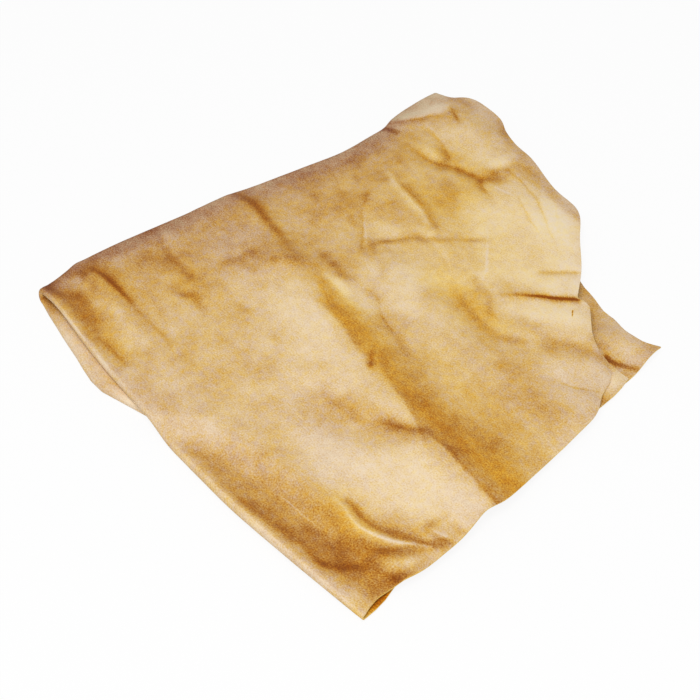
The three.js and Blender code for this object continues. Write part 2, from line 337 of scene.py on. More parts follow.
CREASES: tuple[Stroke, ...] = (
    # The tail: the pinch at the spine, the facet over it, the branching valley and the hump's side
    Stroke(((9, 257, -2), (19, 262, -1.5)), 4, 5),
    Stroke(((10, 268, 1.4), (14, 281, 2), (20, 297, 1.2)), 3, 9, 1.4),
    Stroke(((26, 257, -0.6), (38, 259, -1.2), (49, 259, -1.8), (58, 261, -2.2), (66, 265, -2.4),
            (75, 269, -2.4), (86, 272, -2.2), (94, 278, -1.2), (99, 284, -0.5)), 4, 4, 1.6),
    Stroke(((30, 279, -0.6), (41, 278, -1.2), (51, 274, -1.5), (60, 269, -1)), 3, 3, 1.6),
    Stroke(((87, 272, -0.8), (97, 267, -1.3), (106, 264, -0.8), (114, 263, -0.3)), 3, 3, 1.6),
    Stroke(((40, 267, 0.8), (50, 266, 0.8)), 4, 4),
    Stroke(((22, 282, 0.5), (34, 281, 0.9), (46, 279, 0.6)), 2.5, 3, 1.6),
    Stroke(((83, 282, 1), (85, 294, 1.4), (86, 305, 1)), 2.5, 8, 1.4),
    # Thin creases of the far half
    Stroke(((46, 229, 0.3), (60, 227, 0.6), (80, 224, 0.7), (100, 219, 0.6),
            (114, 213, 0.3)), 1.6, 5, 1.3, 0.4),
    Stroke(((91, 184, -0.6), (98, 193, -0.9), (105, 203, -0.9), (112, 209, -0.7), (122, 222, -0.5),
            (132, 235, -0.4)), 2, 3, 1.4),
    Stroke(((92, 292, 0.3), (110, 292, 0.6), (126, 287, 0.7), (142, 280, 0.6),
            (158, 271, 0.3)), 1.6, 3, 1.3),
    Stroke(((117, 279, 0.3), (131, 274, 0.6), (146, 268, 0.5), (158, 262, 0.2)), 1.6, 3, 1.3),
    Stroke(((130, 241, 0.4), (143, 229, 0.7), (152, 220, 0.7), (160, 210, 0.4)), 2, 3, 1.3),
    Stroke(((20, 204, -0.3), (30, 201, -0.6), (42, 196, -0.5)), 2, 2.5, 1.4),
    Stroke(((54, 208, -0.4), (62, 199, -0.7), (75, 187, -0.9), (88, 175, -0.9),
            (94, 170, -0.4)), 2, 2.5, 1.4),
    Stroke(((105, 208, -0.3), (120, 207, -0.6), (133, 203, -0.6), (142, 199, -0.3)), 2, 2, 1.4),
    Stroke(((124, 151, -0.4), (138, 149, -0.7), (150, 142, -0.9), (162, 140, -0.8),
            (178, 134, -0.4)), 2, 4, 1.4),
    Stroke(((77, 136, 1), (88, 144, 1.6), (110, 145, 1)), 8, 4, 1.3),
    # The sharp pleat at the far edge: its upper side lies over the lower
    Stroke(((177, 209, 0.6), (184, 219, 1.6), (192, 228, 2.4), (201, 236, 2.2),
            (207, 242, 1.4)), 2.6, 12, 1.6, 0.3),
    Stroke(((177, 241, -0.5), (184, 250, -1), (190, 257, -1)), 2.5, 2.5),
    # Soft valleys of the side half
    Stroke(((148, 193, -0.8), (166, 188, -1.6), (182, 185, -1.8), (200, 185, -1.6),
            (214, 192, -0.8)), 8, 6),
    Stroke(((222, 206, -1), (232, 212, -1.6), (244, 217, -1.6), (256, 218, -1)), 6, 5),
    Stroke(((270, 198, -0.5), (259, 191, -0.7), (247, 186, -0.4)), 2.2, 2.2, 1.4),
    # The small crumples near the front corner of the side edge
    Stroke(((236, 36, 0.3), (243, 36, 0.6), (252, 35, 1), (261, 34, 1.2), (268, 36, 1.2), (275, 39, 1.2),
            (284, 45, 1), (294, 53, 0.6)), 1.8, 1.6, 1.2, 0.4),
    Stroke(((242, 41, -0.6), (258, 40, -0.8), (270, 43, -0.8), (280, 48, -0.8), (286, 54, -0.6)), 3, 5),
    Stroke(((274, 32, -0.6), (284, 40, -1), (292, 51, -1)), 5, 3),
    Stroke(((221, 14, 0.5), (234, 15, 0.7), (247, 16, 0.6)), 2, 1.6, 1.3, 0.4),
    Stroke(((284, 72, -0.8), (297, 71, -0.8)), 4, 4),
    # The mouth of the front roll, open at the side edge
    Stroke(((288, 10, 0.3), (302, 11, 0.8)), 7, 9),
    # Small marks near the spine
    Stroke(((0, 84, -0.6), (22, 79, -1), (47, 76, -0.8)), 3.5, 3.5),
    Stroke(((52, 65, -0.8), (66, 68, -1), (80, 65, -0.6)), 4, 5),
)
TONGUE: tuple[Stroke, ...] = (Stroke(((243, 240, 5), (266, 244, 6)), 11, 16),)
TONES: dict[Place, tuple[Stroke, ...]] = {
    Place.TOP: (
        # Painted shade on the side of the spine that turns away from the light, and darker over the half
        # beside it
        Stroke(((18, 232, -0.3), (26, 222, -0.5)), 8, 8),
        Stroke(((2, 12, -0.5), (1, 24, -0.7), (3, 32, -0.4)), 6, 6),
        Stroke(((3, 3, -0.4), (22, 6, -0.5), (40, 5, -0.3)), 5, 4),
        Stroke(((-3, 50, -0.3), (-2, 75, -0.35), (0, 95, -0.3), (4, 118, -0.1), (5, 160, 0),
                (10, 215, -0.2)), 4, 4),
        Stroke(((6, 0, -0.8), (-1, 33, -0.5), (1, 75, -0.5), (4, 110, -0.4), (6, 150, -0.3),
                (12, 190, -0.4), (15, 215, -0.2), (15, 245, -0.4), (10, 266, -0.5), (4, 300, -0.4)), 10, 8),
        Stroke(((4, 50, -0.4), (6, 130, -0.5), (20, 200, -0.4), (20, 250, -0.3)), 22, 20),
        Stroke(((25, 20, -0.3), (32, 70, -0.35), (52, 112, -0.4), (68, 118, -0.35)), 20, 20),
        Stroke(((25, 158, -0.2), (40, 200, -0.3), (50, 245, -0.2)), 24, 30),
        # Painted shade, golden, where the ridge falls away from the light, in pieces from the spine to the
        # side edge
        Stroke(((52, 124, -0.2), (64, 128, -0.3), (76, 133, -0.3)), 7, 6),
        Stroke(((80, 147, -0.2), (96, 155, -0.3), (106, 161, -0.2)), 6, 6),
        Stroke(((4, 143, -0.3), (10, 145, -0.4), (18, 146, -0.6), (28, 144, -0.7), (38, 142, -0.6),
                (49, 141, -0.6), (58, 140, -0.5), (70, 139, -0.4)), 3, 3.4),
        Stroke(((76, 136, -0.4), (88, 138, -0.5), (100, 135, -0.5), (116, 131, -0.5)), 1.6, 6, 3),
        Stroke(((112, 122, -0.4), (122, 123, -0.6), (135, 122, -0.7), (150, 118, -0.7), (166, 114, -0.5),
                (172, 112, -0.5)), 0.8, 15, 3, 0.3),
        Stroke(((172, 120, -0.3), (190, 113, -0.6), (210, 109, -0.7), (222, 105, -0.7),
                (232, 101, -0.7)), 0.8, 22, 3, 0.3),
        Stroke(((236, 105, -0.6), (250, 104, -0.8), (262, 103, -0.7), (278, 101, -0.7),
                (293, 99, -0.7)), 0.8, 24, 3, 0.3),
        Stroke(((150, 146, -0.2), (190, 140, -0.3), (240, 138, -0.1), (280, 136, -0.2)), 12, 12),
        Stroke(((166, 119, -0.5), (173, 113, -0.8)), 2, 2),
        Stroke(((84, 151, -0.6), (94, 149, -0.8), (104, 148, -0.8), (112, 150, -0.5)), 2.5, 3),
        Stroke(((124, 151, -0.3), (132, 151, -0.5), (140, 149, -0.3)), 1.5, 1.5),
        Stroke(((140, 146, -0.3), (150, 142, -0.3), (162, 140, -0.4), (180, 134, -0.4)), 1.6, 3),
        Stroke(((190, 166, -0.1), (240, 166, -0.3)), 16, 16),
        # Painted shade in the hollow behind the front roll and along the first pleat
        Stroke(((8, 28, -0.8), (16, 28, -0.7), (30, 28, -0.3), (44, 32, -0.2)), 4, 4),
        Stroke(((44, 16, -0.5), (58, 13, -0.4)), 6, 6),
        Stroke(((4, 6, -0.5), (14, 10, -0.6), (22, 13, -0.7), (31, 12, -0.4), (40, 9, -0.5), (50, 6, -0.7),
                (60, 5, -0.4), (70, 6, -0.9), (84, 5, -0.4)), 3, 5),
        Stroke(((22, 16, -0.4), (45, 14, -0.3)), 7, 7),
        Stroke(((6, 35, -0.5), (14, 37, -0.9), (26, 37, -1), (38, 37, -0.9), (48, 36, -0.5), (62, 34, -0.4),
                (80, 35, -0.4), (93, 32, -0.2)), 1.8, 2.4),
        Stroke(((0, 41, -0.3), (20, 42, -0.4), (44, 40, -0.3)), 4, 6),
        # Painted shade on the band behind the roll at the side edge and on the golden zone over it, which
        # fall away from the light
        Stroke(((157, -4, -0.4), (180, -2, -0.5), (200, -3, -0.6), (220, -2, -0.8), (240, 1, -0.8),
                (258, 4, -0.7), (264, 4, -0.7), (270, 5, -0.7), (277, 10, -0.7), (282, 16, -0.5),
                (288, 20, -0.3)), 2.5, 6),
        Stroke(((272, 0, -0.4), (290, 8, -0.5), (300, 10, -0.4)), 5, 6),
        Stroke(((200, 14, -0.3), (235, 22, -0.4), (262, 22, -0.7), (280, 26, -0.8),
                (296, 26, -0.6)), 9, 11),
        Stroke(((170, 6, -0.5), (215, 11, -0.7), (240, 16, -0.6), (272, 18, -0.6),
                (300, 20, -0.6)), 10, 12),
        Stroke(((243, 42, -0.2), (256, 41, -0.4), (271, 44, -0.4), (282, 50, -0.4)), 1.4, 6),
        Stroke(((286, 40, -0.3), (296, 56, -0.4)), 5, 5),
        Stroke(((284, 63, -0.5), (297, 61, -0.7)), 5, 4),
        Stroke(((283, 24, -0.3), (290, 26, -0.4), (298, 29, -0.4)), 4, 4),
        Stroke(((270, 50, -0.4), (288, 56, -0.5)), 8, 8),
        Stroke(((300, 26, -0.8), (301, 45, -0.5)), 3, 3),
        Stroke(((240, 29, -0.4), (256, 25, -0.4), (268, 19, -0.3)), 6, 6),
        Stroke(((248, 11, -0.5), (262, 12, -0.4), (278, 10, -0.4), (294, 16, -0.4), (300, 22, -0.6)), 5, 5),
        Stroke(((284, 62, -0.5), (297, 64, -0.5)), 4, 3),
        # Painted shade in the tail's valleys and pinch, on its facet and along the far edge
        Stroke(((26, 257, -0.1), (38, 259, -0.4), (49, 259, -0.6), (58, 261, -0.7), (66, 265, -0.8),
                (75, 269, -0.9), (86, 272, -0.9), (93, 277, -0.6), (98, 284, -0.3)), 3.4, 3),
        Stroke(((30, 278, -0.2), (41, 278, -0.4), (51, 274, -0.5), (60, 269, -0.4)), 2.4, 2.4),
        Stroke(((9, 264, -0.4), (14, 272, -0.5), (20, 284, -0.3)), 2.5, 2.5),
        Stroke(((76, 272, -0.3), (90, 280, -0.4), (98, 290, -0.3)), 7, 6),
        Stroke(((89, 271, -0.5), (97, 267, -0.7), (105, 265, -0.4), (112, 264, -0.2)), 2, 2),
        Stroke(((9, 257, -0.8), (14, 260, -1), (19, 262, -0.8)), 1.8, 1.8),
        Stroke(((8, 264, -0.2), (14, 276, -0.4), (19, 287, -0.4), (23, 295, -0.3)), 3, 1.8),
        Stroke(((21, 306, -0.5), (30, 302, -0.7), (38, 299, -0.3)), 1.6, 1.6),
        Stroke(((12, 315, -0.6), (18, 317, -0.6), (26, 318, -0.4)), 3, 3),
        Stroke(((56, 319, -0.3), (66, 314, -0.6), (74, 310, -0.5), (80, 307, -0.2)), 3, 3),
        Stroke(((90, 303, -0.3), (98, 303, -0.5), (110, 302, -0.3)), 3, 4),
        Stroke(((120, 299, -0.5), (132, 296, -0.7), (146, 294, -0.7), (156, 293, -0.5)), 3, 3),
        Stroke(((89, 282, -0.3), (91, 294, -0.5), (93, 300, -0.4)), 2.5, 2.5),
        # Painted shade under the pleat at the far edge and in the soft valleys of the far half
        Stroke(((177, 210, -0.2), (183, 217, -0.6), (190, 225, -1.5), (198, 232, -2.2), (205, 239, -2.2),
                (208, 241, -1.6)), 2.6, 2.2),
        Stroke(((177, 241, -0.4), (184, 250, -0.9), (190, 257, -1)), 2, 2),
        Stroke(((150, 193, -0.3), (160, 191, -0.4), (169, 187, -0.7), (182, 185, -0.7), (195, 183, -0.6),
                (206, 187, -0.8), (214, 192, -0.7)), 3, 3.5),
        Stroke(((155, 208, -0.5), (165, 204, -0.6), (174, 203, -0.5), (180, 198, -0.5),
                (185, 193, -0.4)), 2.2, 2.2),
        Stroke(((222, 206, -0.1), (230, 210, -0.5), (238, 214, -0.7), (246, 217, -0.5),
                (252, 216, -0.3)), 3, 4),
        Stroke(((200, 205, -0.3), (208, 207, -0.4)), 4, 4),
        Stroke(((250, 220, -0.5), (260, 218, -0.6)), 3, 3),
        Stroke(((62, 231, -0.3), (76, 229, -0.6), (90, 226, -0.5), (106, 219, -0.3)), 1.4, 2.2),
        Stroke(((93, 174, -0.3), (95, 183, -0.5), (101, 194, -0.6), (109, 207, -0.3), (115, 213, -0.5),
                (122, 220, -0.2), (131, 232, -0.5), (136, 238, -0.2)), 2.4, 2),
        Stroke(((88, 180, -0.3), (95, 178, -0.5), (102, 175, -0.4)), 1.8, 1.8),
        Stroke(((54, 208, -0.2), (62, 199, -0.2), (75, 187, -0.2), (88, 175, -0.4),
                (93, 171, -0.3)), 1.6, 1.2),
        Stroke(((92, 291, -0.4), (108, 290, -0.4), (125, 285, -0.5), (140, 278, -0.5),
                (155, 270, -0.4)), 1.6, 1.2),
        Stroke(((117, 277, -0.3), (130, 272, -0.4), (145, 266, -0.3)), 1.4, 1.2),
        Stroke(((111, 173, -0.5), (116, 169, -0.6), (121, 165, -0.3)), 2, 2),
        Stroke(((175, 243, -0.2), (182, 238, -0.3)), 4, 4),
        Stroke(((228, 203, -0.45), (242, 205, -0.45)), 7, 6),
        Stroke(((52, 168, -0.4), (62, 150, -0.3)), 10, 10),
        Stroke(((82, 250, -0.5), (90, 246, -0.5), (100, 240, -0.3)), 5, 5),
        # Painted shade in the dip and in the crumples at the side edge
        Stroke(((172, 80, -0.4), (186, 80, -0.6), (200, 81, -0.8), (208, 82, -0.3)), 3.5, 4),
        Stroke(((210, 87, -0.2), (216, 93, -0.8), (223, 98, -0.9), (231, 102, -0.6)), 4, 4),
        Stroke(((172, 74, -0.3), (200, 76, -0.4), (222, 90, -0.4)), 10, 8),
        Stroke(((186, 88, -0.7), (200, 91, -1), (216, 94, -0.7), (228, 96, -0.5)), 6, 5),
        Stroke(((243, 40, -0.5), (253, 39, -0.8), (261, 38.5, -0.7), (270, 41, -0.6), (279, 45.5, -0.6),
                (286, 49.5, -0.5), (295, 55, -0.4)), 1.2, 2.2),
        Stroke(((268, 28, -0.3), (276, 29, -0.4), (283, 35, -0.6), (289, 44, -0.6), (294, 55, -0.5),
                (297, 64, -0.7)), 3.5, 3.2),
        Stroke(((282, 63, -0.5), (284, 74, -0.6)), 2, 2),
        Stroke(((289, 73, -0.6), (297, 72, -0.8)), 2, 2),
        Stroke(((281, 184, -0.3), (286, 155, -0.2), (289, 135, -0.2), (292, 115, -0.2)), 6, 4),
        Stroke(((296, 101, -0.7), (295, 89, -0.8)), 2, 2),
        # Painted shade along small valleys near the spine, on the front half and on the far half
        Stroke(((0, 84, -0.3), (12, 81, -0.4), (26, 78, -0.5), (38, 77, -0.5), (47, 76, -0.6),
                (52, 72, -0.3)), 2.5, 2.5),
        Stroke(((50, 64, -0.5), (58, 64, -0.8), (66, 68, -0.9), (72, 66, -0.7), (80, 65, -0.5)), 2.5, 3),
        Stroke(((50, 78, -0.3), (54, 95, -0.4), (55, 118, -0.6)), 3.5, 3.5),
        Stroke(((8, 128, -0.4), (30, 127, -0.3), (58, 121, -0.4)), 10, 10),
        Stroke(((60, 108, -0.4), (69, 108, -0.4)), 2, 2.5),
        Stroke(((85, 23, -0.2), (95, 15, -0.3), (104, 8, -0.3), (110, 5, -0.2)), 3, 3),
        Stroke(((44, 226, -0.4), (50, 225, -0.4)), 3, 2),
        # Pale where the leather rises to the light
        Stroke(((85, 121, 0.3), (120, 113, 0.6), (160, 107, 0.5), (205, 100, 0.3), (240, 86, 0.5),
                (290, 88, 0.4)), 24, 7),
        Stroke(((195, 54, 0.3), (240, 58, 0.5), (280, 78, 0.4)), 16, 18),
        Stroke(((112, 286, 0.5), (140, 284, 0.9), (160, 272, 1.1), (178, 255, 1), (192, 246, 0.9)), 14, 12),
        Stroke(((165, 280, 0.4), (190, 262, 0.5), (204, 247, 0.5)), 8, 8),
        Stroke(((110, 248, 0.5), (135, 240, 0.8), (165, 222, 0.5)), 14, 14),
        Stroke(((190, 207, 0.7), (198, 218, 0.9), (210, 227, 1), (222, 232, 0.9), (232, 224, 0.5)), 8, 8),
        Stroke(((40, 292, 0.4), (65, 290, 0.6), (80, 288, 0.5)), 10, 10),
        Stroke(((82, 284, 0.5), (83, 294, 0.6), (83, 303, 0.4)), 3, 3),
        Stroke(((11, 276, 0.5), (14, 290, 0.7), (18, 303, 0.6)), 3, 5),
        Stroke(((10, 47, 0.3), (30, 47, 0.4), (45, 46, 0.3)), 6, 6),
        Stroke(((98, 140, 0.6), (108, 141, 0.8), (118, 139, 0.6)), 2.5, 2.5),
        Stroke(((112, 143, 0.4), (140, 139, 0.4)), 6, 5),
        Stroke(((110, 165, 0.5), (135, 182, 0.7), (150, 206, 0.5)), 14, 16),
        Stroke(((80, 193, 0.3), (92, 197, 0.5)), 5, 5),
        Stroke(((100, 211, 0.4), (108, 213, 0.5)), 3, 3),
        Stroke(((48, 231, 0.3), (60, 226, 0.5), (80, 223, 0.5), (100, 218, 0.4)), 1.8, 1.4),
        Stroke(((128, 289, 0.3), (142, 285, 0.4), (152, 280, 0.3)), 3, 3),
        Stroke(((118, 262, 0.4), (140, 272, 0.6)), 12, 12),
        Stroke(((112, 137, 0.2), (126, 137, 0.3), (142, 146, 0.4)), 5, 5),
        Stroke(((140, 88, 0.2), (160, 72, 0.2), (170, 50, 0.2)), 10, 10),
        Stroke(((238, 36, 0.1), (244, 36, 0.2), (252, 35, 0.3), (261, 34, 0.4), (268, 36, 0.6),
                (275, 39, 0.6), (284, 45, 0.6), (294, 53, 0.4)), 1.1, 1.1),
        Stroke(((245, -7, 0.2), (270, -5, 0.2), (288, 4, 0.1)), 4, 4),
        Stroke(((287, 62, 0.5), (293, 64, 0.8), (298, 66, 0.6)), 1.6, 1.6),
        Stroke(((245, 194, 0.3), (268, 186, 0.3)), 10, 8),
        Stroke(((118, 268, 0.3), (135, 276, 0.3), (150, 282, 0.3)), 12, 12),
        Stroke(((42, 274, 0.3), (52, 276, 0.2)), 5, 5),
        Stroke(((236, 16, 0.3), (254, 20, 0.5)), 5, 5),
        Stroke(((228, 107, 0.2), (254, 117, 0.3)), 5, 5),
        # Darker and paler blotches
        *blotches(-0.6, (100, 299, 112, 296, 5)),
        *blotches(-0.5, (66, 125, 70, 124, 2)),
        *blotches(-0.4, (86, 283, 94, 280, 5), (52, 322, 60, 321, 4), (56, 272, 66, 272, 3),
                  (62, 203, 84, 205, 7), (42, 112, 45, 116, 3), (64, 78, 72, 73, 8), (86, 83, 94, 84, 2.5),
                  (122, 84, 127, 83, 2.5), (14, 66, 20, 64, 3), (55, 205, 58, 203, 2.5),
                  (72, 214, 76, 212, 3), (38, 211, 41, 211, 2), (40, 246, 43, 244, 3),
                  (66, 184, 72, 183, 2), (36, 180, 42, 178, 2.5), (104, 206, 112, 206, 3),
                  (220, 171, 232, 169, 4), (18, 243, 25, 241, 6)),
        *blotches(-0.3, (130, 58, 142, 62, 9), (210, 22, 222, 26, 8), (22, 290, 30, 296, 5),
                  (24, 70, 34, 70, 5), (164, 197, 176, 193, 5), (72, 150, 84, 150, 4),
                  (94, 217, 106, 215, 4), (178, 243, 192, 246, 4), (200, 229, 204, 233, 3),
                  (234, 228, 242, 225, 2.5), (70, 217, 80, 213, 8), (46, 190, 56, 185, 8),
                  (90, 168, 112, 177, 6), (92, 259, 100, 255, 6), (70, 160, 100, 160, 7),
                  (46, 136, 54, 133, 5), (24, 90, 30, 84, 7), (62, 46, 66, 44, 2.5), (50, 235, 53, 234, 3),
                  (84, 238, 92, 236, 3)),
        *blotches(-0.25, (30, 62, 48, 44, 9), (135, 4, 160, 3, 7), (132, 199, 146, 202, 6),
                  (88, 262, 98, 264, 5)),
        *blotches(-0.2, (90, 32, 100, 34, 8), (122, 126, 138, 124, 5), (60, 76, 70, 82, 9),
                  (104, 27, 116, 34, 7), (236, 122, 272, 124, 7), (240, 162, 268, 167, 10),
                  (16, 154, 26, 158, 6), (146, 220, 148, 232, 6), (230, 181, 244, 180, 6),
                  (246, 155, 258, 133, 7), (22, 188, 28, 180, 8)),
        *blotches(-0.15, (268, 92, 282, 90, 6)),
        *blotches(0.7, (176, 232, 188, 238, 8)),
        *blotches(0.4, (240, 204, 262, 212, 8), (160, 173, 190, 172, 7), (290, 150, 285, 165, 8),
                  (220, 44, 234, 42, 8), (175, 146, 196, 150, 9), (290, 30, 295, 38, 4),
                  (290, 56, 296, 62, 3)),
        *blotches(0.3, (202, 214, 216, 222, 8), (142, 164, 156, 160, 10), (132, 148, 140, 148, 4),
                  (112, 178, 120, 178, 5), (232, 108, 246, 108, 4), (30, 258, 35, 258, 5),
                  (202, 248, 208, 246, 4), (266, 6, 274, 8, 3.5), (298, 38, 300, 46, 4)),
        *blotches(0.25, (134, 256, 150, 266, 10), (150, 162, 168, 160, 8), (106, 190, 116, 188, 5),
                  (195, 9, 211, 11, 7)),
        *blotches(0.2, (120, 18, 150, 22, 16), (205, 135, 220, 134, 8), (108, 135, 120, 135, 4),
                  (210, 213, 216, 214, 6), (158, 29, 186, 34, 8), (12, 57, 28, 57, 6),
                  (222, 224, 230, 208, 5), (30, 130, 36, 126, 5)),
        *blotches(0.15, (144, 78, 158, 61, 9)),
        *blotches(0.12, (140, 80, 156, 92, 8), (118, 49, 148, 55, 9)),
    ),
    Place.SECOND: (
        # Painted shade and painted orange light through the leather inside the mouth of the front roll at the
        # side edge; a darker mark and a paler patch at the corner that shows past the top leaf
        Stroke(((292, 4, -1), (303, 8, -1.1), (300, 28, -0.9)), 8, 8),
        Stroke(((272, 190, -0.7), (278, 196, -0.7)), 3, 3),
        Stroke(((268, 204, 1.1), (268, 212, 1.4), (270, 221, 1.4)), 7, 5),
    ),
    # Painted shade inside the hole between the leaves at the left corner
    Place.INSIDE: (Stroke(((-2, 8, -1.2), (16, 8, -1.2), (40, 8, -0.6)), 5, 5),),
    Place.BOTTOM: (
        # Painted shadows cast by the edges of the leaves over the tongue, and painted light on its raised
        # part
        Stroke(((210, 249, -0.1), (218, 246, -0.3), (227, 238, -0.3), (236, 230, -0.1),
                (246, 225, -0.4)), 3, 3),
        Stroke(((252, 222, -1.6), (257, 222, -2.3), (262, 224, -1.7), (267, 226, -1.1),
                (273, 229, -0.8)), 1.6, 1.5),
        Stroke(((228, 246, 0.4), (236, 238, 0.5), (250, 236, 0.4), (262, 234, 0.3)), 8, 10),
        Stroke(((262, 248, -0.3), (268, 246, -0.3)), 4, 4),
    ),
    Place.LOWER: (
        # Painted shade in the crevice under the upper roll near the spine, paler paint along the crevice that
        # softens its shadow, and darker and paler patches on the lower roll
        Stroke(((9, -1, -1.8), (13, -1, -1.5), (24, -4, -0.8), (36, -6, -0.2)), 2.6, 2.6),
        Stroke(((78, -10, -0.4), (90, -13, -0.5)), 3, 3),
        Stroke(((30, -8, 0.3), (80, -11, 0.5), (110, -8, 0.3)), 7, 7),
        Stroke(((30, -3, 0.4), (45, -4, 0.8), (79, -7, 0.9), (117, -9, 0.8)), 2.5, 2.5),
    ),
}
CASTS: dict[Place, tuple[Stroke, ...]] = {
    Place.TOP: (
        # Mauve along the spine, the far edge, the front and the side corner, partly the tint of painted shade
        # where they turn away from the light
        Stroke(((5, 0, 0.9), (-3, 33, 1), (-2, 60, 1.2), (1, 100, 1.2), (3, 140, 1.1), (9, 190, 1.2),
                (13, 220, 1.1), (11, 250, 1.2), (6, 268, 1.1), (2, 290, 1), (1, 310, 0.9)), 10, 8),
        Stroke(((8, 60, 0.1), (20, 90, 0.15), (36, 120, 0.15), (46, 150, 0.1)), 22, 22),
        Stroke(((100, 10, 0.1), (160, 10, 0.2), (215, 10, 0.15)), 12, 14),
        Stroke(((240, -8, 0.2), (270, -6, 0.3), (290, 2, 0.3)), 5, 5),
        Stroke(((20, 90, 0.1), (30, 110, 0.2), (36, 127, 0.2), (50, 128, 0.1)), 14, 12),
        Stroke(((20, 160, 0.3), (26, 200, 0.2), (26, 245, 0.2)), 10, 10),
        Stroke(((40, 112, 0.2), (54, 103, 0.3), (68, 112, 0.2)), 12, 12),
        Stroke(((6, 318, 0.6), (30, 320, 0.45), (52, 320, 0.3), (70, 314, 0.2), (98, 309, 0.35),
                (127, 303, 0.4), (150, 297, 0.3)), 7, 7),
        Stroke(((14, 278, 0.2), (18, 300, 0.2)), 8, 8),
        Stroke(((60, -3, 0.1), (90, -4, 0.25), (130, -5, 0.2), (157, -6, 0.15)), 8, 8),
        Stroke(((247, 185, 0.15), (265, 195, 0.25), (262, 208, 0.2), (277, 185, 0.2)), 14, 12),
        Stroke(((172, 68, 0.15), (195, 62, 0.2), (225, 50, 0.15)), 14, 14),
        Stroke(((292, 90, 0.2), (280, 86, 0.15)), 9, 9),
        Stroke(((187, 262, 0.1), (202, 256, 0.2), (217, 243, 0.15)), 6, 6),
        Stroke(((235, 225, 0.15), (250, 220, 0.25), (262, 216, 0.25)), 5, 5),
        # Yellow over the far half and the front, and deepest in the valleys and on the ridge's falling slope,
        # where it paints the warm colour of shade
        Stroke(((70, 210, -0.1), (110, 225, -0.2), (150, 225, -0.2), (180, 215, -0.1)), 40, 50),
        Stroke(((40, 262, -0.2), (62, 268, -0.35), (88, 268, -0.3), (90, 240, -0.35),
                (70, 234, -0.3)), 12, 12),
        Stroke(((140, 192, -0.3), (160, 190, -0.5), (178, 187, -0.5), (196, 188, -0.4)), 9, 9),
        Stroke(((96, 136, -0.2), (122, 128, -0.7), (150, 124, -0.8), (190, 117, -0.7), (220, 113, -0.7),
                (250, 113, -0.8), (275, 114, -1), (293, 113, -0.9)), 5, 9),
        Stroke(((190, 142, -0.2), (240, 140, -0.3), (280, 138, -0.2)), 10, 10),
        Stroke(((238, 32, -0.4), (260, 30, -0.6), (285, 24, -0.2), (298, 22, -0.2)), 9, 9),
        Stroke(((6, 37, -0.5), (20, 38, -0.5), (40, 38, -0.4)), 6, 6),
        Stroke(((165, 0, 0), (205, 4, -0.1), (235, 8, -0.15)), 7, 7),
        Stroke(((10, 10, -0.1), (30, 11, -0.2), (50, 8, -0.3), (80, 6, -0.3)), 7, 7),
        Stroke(((10, 145, -0.3), (28, 145, -0.4), (56, 140, -0.4)), 4, 4),
        Stroke(((40, 77, -0.2), (66, 68, -0.3)), 7, 7),
    ),
    # Painted orange of light through the leather inside the mouth of the front roll
    Place.SECOND: (Stroke(((304, 2, -3), (302, 24, -3)), 5, 5),),
    Place.BOTTOM: (Stroke(((240, 246, 0.3), (264, 250, 0.4), (270, 230, 0.3)), 10, 10),),
    Place.LOWER: (Stroke(((10, -6, 0.1), (60, -9, 0.2), (90, -14, 0.2), (120, -8, 0.2)), 6, 6),),
}
